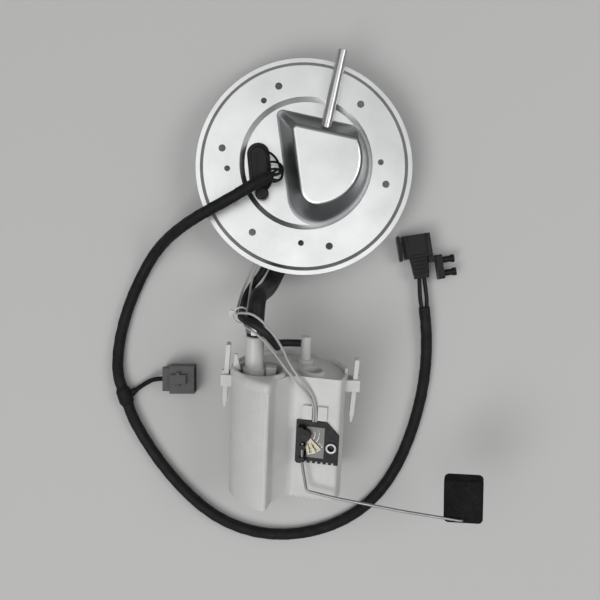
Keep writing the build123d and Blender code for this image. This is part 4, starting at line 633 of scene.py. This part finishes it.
def placed_mesh(name, where, points, faces):
    """A mesh from points in millimetres in a frame."""
    mesh = bpy.data.meshes.new(name)
    mesh.from_pydata([where @ (Vector(point) * MM) for point in points], [], faces)
    return mesh


def strip(name, where, rows, closed_rows=False, closed=False):
    """A skin over rows of points. A row can meet its own start, and the last row the first."""
    points = [point for row in rows for point in row]
    wide = len(rows[0])
    faces = []
    for index in range(len(rows) if closed else len(rows) - 1):
        after = (index + 1) % len(rows)
        for step in range(wide if closed_rows else wide - 1):
            beside = (step + 1) % wide
            low = index * wide
            high = after * wide
            faces.append((low + step, high + step, high + beside, low + beside))
    return placed_mesh(name, where, points, faces)


def bars(name, where, boxes, bevel, material, body):
    """Moulded bars with rounded edges: each one is its low and high corner, in millimetres."""
    builder = bmesh.new()
    for low, high in boxes:
        made = bmesh.ops.create_cube(builder, size=1.0)
        middle = (Vector(low) + Vector(high)) / 2
        span = Vector(high) - Vector(low)
        for vertex in made["verts"]:
            vertex.co = Vector(middle[axis] + vertex.co[axis] * span[axis] for axis in range(3))
    bmesh.ops.bevel(builder, geom=builder.edges[:], offset=bevel, segments=3, affect="EDGES", profile=0.5)
    mesh = bpy.data.meshes.new(name)
    for vertex in builder.verts:
        vertex.co = where @ (vertex.co * MM)
    builder.to_mesh(mesh)
    builder.free()
    add(name, mesh, material, body)


# Rounded lip over the pump's side of the rim. The outline has a straight wall from its toe to its heel, and
# is followed a little beyond the heel
TOE = Vector((-13.5, -41.5))
HEEL = Vector((-9.8, -26.4))
PARALLEL = 1e-6
WALL_OVERRUN = 1.05


def reach(angle):
    """How far the reservoir's outline is from the pump's axis, in one direction."""
    ahead = Vector((math.cos(angle), math.sin(angle)))
    start = Vector(PUMP_AT)
    along = start.dot(ahead)
    far = -along + math.sqrt(along * along - start.length_squared + OUTLINE_R**2)
    wall = HEEL - TOE
    across = ahead.x * -wall.y + ahead.y * wall.x
    if abs(across) > PARALLEL:
        gap = TOE - start
        distance = (gap.x * -wall.y + gap.y * wall.x) / across
        share = (ahead.x * gap.y - ahead.y * gap.x) / across
        if distance > 0 and share < WALL_OVERRUN:
            far = min(far, distance)
    return far


# The lip's turns in degrees, the turn from which it keeps close to the pump, and its widest and closest reach
LIP_STEPS = 96
LIP_FIRST = 158.0
LIP_LAST = 338.0
LIP_BEND = math.radians(303.0)
LIP_FAR = 36.5
LIP_NEAR = 21.2


def lip_turn(index):
    """The direction of one step of the lip."""
    return math.radians(LIP_FIRST + (LIP_LAST - LIP_FIRST) * index / LIP_STEPS)


sharp_reach = [
    min(reach(lip_turn(index)), LIP_FAR) if lip_turn(index) < LIP_BEND else LIP_NEAR
    for index in range(LIP_STEPS + 1)
]
lip_reach = []
for index in range(LIP_STEPS + 1):
    nearby = sharp_reach[max(0, index - 2):index + 3]
    lip_reach.append(sum(nearby) / len(nearby))
lip_rows = []
for index, far in enumerate(lip_reach):
    rise = min(1.0, index / 6, (LIP_STEPS - index) / 14)
    profile = [
        (18.6, 1.9), (19.4, 2.15 + 0.5 * rise), (20.4, 2.15 + 0.9 * rise),
        (max(21.0, far - 2.2), 1.6 + 0.9 * rise), (far - 0.8, 0.9 + 0.7 * rise),
        (far + 0.15 + 0.35 * rise, -0.6), (far + 0.15 + 0.5 * rise, -2.6), (far + 0.1 + 0.3 * rise, -4.6),
        (far - 0.4, -5.6),
    ]
    lip_rows.append([polar(PUMP_AT, out, lip_turn(index), RIM_Z + height) for out, height in profile])
lip = add("rim_lip", strip("rim_lip", RESERVOIR, lip_rows), "white_plastic", "module")
lip_wall = lip.modifiers.new("wall", "SOLIDIFY")
lip_wall.thickness = 0.0004
lip_wall.offset = -1
lip_smooth = lip.modifiers.new("smooth", "SUBSURF")
lip_smooth.levels = 1
lip_smooth.render_levels = 1

# Painted shade: a dark disc in the rubber material, laid on the pump's end cap round the foot of the tower,
# where the pump's opening lies in shade. Its profile: the share of the way from the hole to the outer edge,
# and the height
SHADE_DISC_STEPS = 64
SHADE_DISC_R = 17.1
SHADE_DISC_HOLE_R = 8.6
SHADE_DISC_HOLE_AT = (PUMP_AT[0] - 4.6, PUMP_AT[1] + 2.0)
SHADE_DISC_PROFILE = (
    (0.0, 94.02), (0.0, 94.7), (0.06, 94.9), (0.55, 94.6), (0.94, 94.9), (1.0, 94.7), (1.0, 94.02),
)
shade_disc_rows = []
for index in range(SHADE_DISC_STEPS):
    turn = math.tau * index / SHADE_DISC_STEPS
    inner = polar(SHADE_DISC_HOLE_AT, SHADE_DISC_HOLE_R, turn, 0.0)
    outer = polar(PUMP_AT, SHADE_DISC_R, turn, 0.0)
    shade_disc_rows.append([
        (inner[0] + (outer[0] - inner[0]) * share, inner[1] + (outer[1] - inner[1]) * share, height)
        for share, height in SHADE_DISC_PROFILE
    ])
shade_disc_mesh = strip("pump_opening_shade_disc", RESERVOIR, shade_disc_rows, closed_rows=True, closed=True)
# Painted shade: this dark disc stands in for the shade inside the pump's opening
add("pump_opening_shade_disc", shade_disc_mesh, "rubber", "module")

# Printed tracks of the resistor card: near and far edge from the pivot, first and last turn in degrees
PIVOT = (17.1, 55.1)
CARD_TOP = 3.1
CARD_TRACKS = (
    (7.2, 8.2, -78, 18), (10.4, 11.2, -76, 22), (13.0, 13.7, -80, -28), (16.2, 17.2, -80, -34),
)
TRACK_STEPS = 32
TRACK_H = 0.08
TRACK_CROWN = 1.1
TRACK_EDGE = 0.05


def on_card(out, turn, height):
    """A point of the card, by its distance and turn from the pivot."""
    return polar(PIVOT, out, turn, CARD_TOP + height)


def track(name, near, far, first, last):
    """A raised band on the card, round the pivot."""
    rows = []
    for index in range(TRACK_STEPS + 1):
        turn = math.radians(first + (last - first) * index / TRACK_STEPS)
        rows.append([
            on_card(near, turn, 0.0), on_card(near + TRACK_EDGE, turn, TRACK_H),
            on_card((near + far) / 2, turn, TRACK_H * TRACK_CROWN),
            on_card(far - TRACK_EDGE, turn, TRACK_H), on_card(far, turn, 0.0),
        ])
    add(name, strip(name, FLAT, rows), "tube_steel", "module")


for index, edges in enumerate(CARD_TRACKS):
    track(f"card_track_{index + 1}", *edges)

# Contacts of the resistor card: short raised bars in a fan round the pivot
CONTACT_COUNT = 14
CONTACT_FIRST = -79.0
CONTACT_PITCH = 3.9
CONTACT_HALF = math.radians(0.9)
CONTACT_REACH = (13.9, 15.9)
CONTACT_HEIGHTS = (0.02, 0.1)
CONTACT_FACES = ((1, 5, 7, 3), (0, 4, 5, 1), (2, 3, 7, 6), (0, 1, 3, 2), (4, 6, 7, 5))
contact_points = []
contact_faces = []
for index in range(CONTACT_COUNT):
    turn = math.radians(CONTACT_FIRST + index * CONTACT_PITCH)
    start = len(contact_points)
    for out in CONTACT_REACH:
        for side in (-CONTACT_HALF, CONTACT_HALF):
            contact_points.extend(on_card(out, turn + side, height) for height in CONTACT_HEIGHTS)
    contact_faces.extend(tuple(start + corner for corner in face) for face in CONTACT_FACES)
contact_mesh = placed_mesh("card_contacts", FLAT, contact_points, contact_faces)
add("card_contacts", contact_mesh, "brass", "module", smooth=False)

# Bright eyelet in the plate's ring boss
EYELET_AT = (37.4, 45.0)
EYELET_STEPS = 48
EYELET_PROFILE = ((2.35, 2.2), (2.4, 3.7), (2.7, 3.95), (3.5, 4.0), (4.2, 3.9), (4.35, 3.6))
eyelet_rows = []
for index in range(EYELET_STEPS):
    turn = math.tau * index / EYELET_STEPS
    eyelet_rows.append([polar(EYELET_AT, out, turn, height) for out, height in EYELET_PROFILE])
add("plate_eyelet", strip("plate_eyelet", FLAT, eyelet_rows, closed=True), "zinc", "module")

# Float: a soft-cornered block of foam, set a little askew on its wire. Its layers: height and inset
FLOAT_AT = (139.4, 15.6)
FLOAT_HALF = (14.6, 17.6)
FLOAT_TURN = math.radians(4.0)
FLOAT_CORNER = 3.4
FLOAT_CORNER_STEPS = 8
FLOAT_CORNER_SIDES = ((1, 1), (-1, 1), (-1, -1), (1, -1))
FLOAT_LAYERS = (
    (-6.5, 2.6), (-6.2, 1.2), (-5.4, 0.35), (-4.2, 0.0), (-1.0, 0.0), (2.0, 0.0), (4.9, 0.0), (6.3, 0.35),
    (7.1, 1.2), (7.4, 2.6),
)


def float_ring(height, inset):
    """One level of the float: a rectangle with round corners, drawn in by its inset."""
    ring = []
    for corner, (x_side, y_side) in enumerate(FLOAT_CORNER_SIDES):
        for step in range(FLOAT_CORNER_STEPS + 1):
            turn = math.pi / 2 * (corner + step / FLOAT_CORNER_STEPS)
            x = (FLOAT_HALF[0] - FLOAT_CORNER) * x_side + FLOAT_CORNER * math.cos(turn)
            y = (FLOAT_HALF[1] - FLOAT_CORNER) * y_side + FLOAT_CORNER * math.sin(turn)
            x *= 1 - inset / FLOAT_HALF[0]
            y *= 1 - inset / FLOAT_HALF[1]
            ring.append((
                FLOAT_AT[0] + x * math.cos(FLOAT_TURN) - y * math.sin(FLOAT_TURN),
                FLOAT_AT[1] + x * math.sin(FLOAT_TURN) + y * math.cos(FLOAT_TURN),
                height,
            ))
    return ring


float_rows = [float_ring(height, inset) for height, inset in FLOAT_LAYERS]
float_mesh = strip("float_foam_block", FLAT, float_rows, closed_rows=True)
ring_size = len(float_rows[0])
last_ring = range((len(float_rows) - 1) * ring_size, len(float_rows) * ring_size)
float_caps = bmesh.new()
float_caps.from_mesh(float_mesh)
float_caps.verts.ensure_lookup_table()
float_caps.faces.new([float_caps.verts[index] for index in range(ring_size)])
float_caps.faces.new([float_caps.verts[index] for index in reversed(last_ring)])
bmesh.ops.recalc_face_normals(float_caps, faces=float_caps.faces)
float_caps.to_mesh(float_mesh)
float_caps.free()
float_piece = add("float_foam_block", float_mesh, "foam", "float_body")
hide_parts("float")

# Rails along the end connector's shell and the ribs of its boot, each by its low and high corner
END_RAILS = (
    ((-9.3, 7.2, 17.6), (9.3, 9.6, 19.0)), ((-9.3, -9.6, 17.6), (9.3, -7.2, 19.0)),
    ((-9.3, -5.2, 17.8), (-6.9, 5.2, 18.8)),
)
END_RAIL_BEVEL = 0.4
BOOT_RIBS = (
    ((-13.2, -5.9, 13.9), (-12.0, 5.9, 15.1)), ((-16.4, -5.6, 13.9), (-15.2, 5.6, 15.1)),
    ((-19.6, -5.3, 13.9), (-18.4, 5.3, 15.1)), ((-22.8, -5.0, 13.9), (-21.6, 5.0, 15.1)),
)
BOOT_RIB_BEVEL = 0.35
bars("end_shell_rails", END_CONNECTOR, END_RAILS, END_RAIL_BEVEL, "black_plastic", "module")
bars("end_boot_ribs", END_CONNECTOR, BOOT_RIBS, BOOT_RIB_BEVEL, "black_plastic", "module")


# Floor, light and camera


def floor():
    """A plain pale floor."""
    size = 6.0
    mesh = bpy.data.meshes.new("floor")
    mesh.from_pydata(
        [(-size, -size, FLOOR_Z), (size, -size, FLOOR_Z), (size, size, FLOOR_Z), (-size, size, FLOOR_Z)],
        [], [(0, 1, 2, 3)],
    )
    made = Nodes("floor_paper", (0.56, 0.56, 0.555), 0.85)
    made.bump(made.noise(400.0, 2.0), 0.1, 0.0001)
    mesh.materials.append(made.mat)
    piece = bpy.data.objects.new("floor", mesh)
    bpy.context.scene.collection.objects.link(piece)


def lamp(name, place, target, size, power):
    """A soft square lamp that faces a point."""
    data = bpy.data.lights.new(name, "AREA")
    data.shape = "SQUARE"
    data.size = size
    data.energy = power
    piece = bpy.data.objects.new(name, data)
    piece.location = place
    piece.rotation_euler = (Vector(target) - Vector(place)).to_track_quat("-Z", "Y").to_euler()
    bpy.context.scene.collection.objects.link(piece)


LAMP_TARGET = (0.0, -0.1, 0.0)
LAMP_SIZE = 1.1
floor()
lamp("key", (-0.6, -1.3, 1.85), LAMP_TARGET, LAMP_SIZE, 15.0)
lamp("fill", (1.35, 0.35, 1.85), LAMP_TARGET, LAMP_SIZE, 12.0)

# The sky's brightest direction, and its fade: from and to by the cosine to it, from and to in strength
SKY_CENTRE = (-0.22, -0.16, 0.96)
SKY_FADE = (0.8, 0.97, 0.2, 1.42)


def studio_sky():
    """A soft overhead glow that fades towards the walls of the studio."""
    world = bpy.data.worlds.new("world")
    world.use_nodes = True
    tree = world.node_tree
    background = tree.nodes["Background"]
    heading = tree.nodes.new("ShaderNodeTexCoord")
    along = tree.nodes.new("ShaderNodeVectorMath")
    along.operation = "DOT_PRODUCT"
    along.inputs[1].default_value = Vector(SKY_CENTRE).normalized()
    tree.links.new(heading.outputs["Generated"], along.inputs[0])
    ramp = tree.nodes.new("ShaderNodeMapRange")
    ramp.interpolation_type = "SMOOTHSTEP"
    for name, value in zip(("From Min", "From Max", "To Min", "To Max"), SKY_FADE):
        ramp.inputs[name].default_value = value
    tree.links.new(along.outputs["Value"], ramp.inputs["Value"])
    background.inputs["Color"].default_value = (1, 1, 1, 1)
    tree.links.new(ramp.outputs["Result"], background.inputs["Strength"])
    bpy.context.scene.world = world


studio_sky()

camera_data = bpy.data.cameras.new("camera")
camera_data.lens = 60.0
camera_data.sensor_width = 36.0
camera_data.clip_start = 0.01
camera = bpy.data.objects.new("camera", camera_data)
camera.location = (0.020013, -0.105059, 0.8)
camera.rotation_euler = (0, 0, math.radians(12.5))
bpy.context.scene.collection.objects.link(camera)
bpy.context.scene.camera = camera
bpy.context.scene.view_settings.view_transform = "Standard"
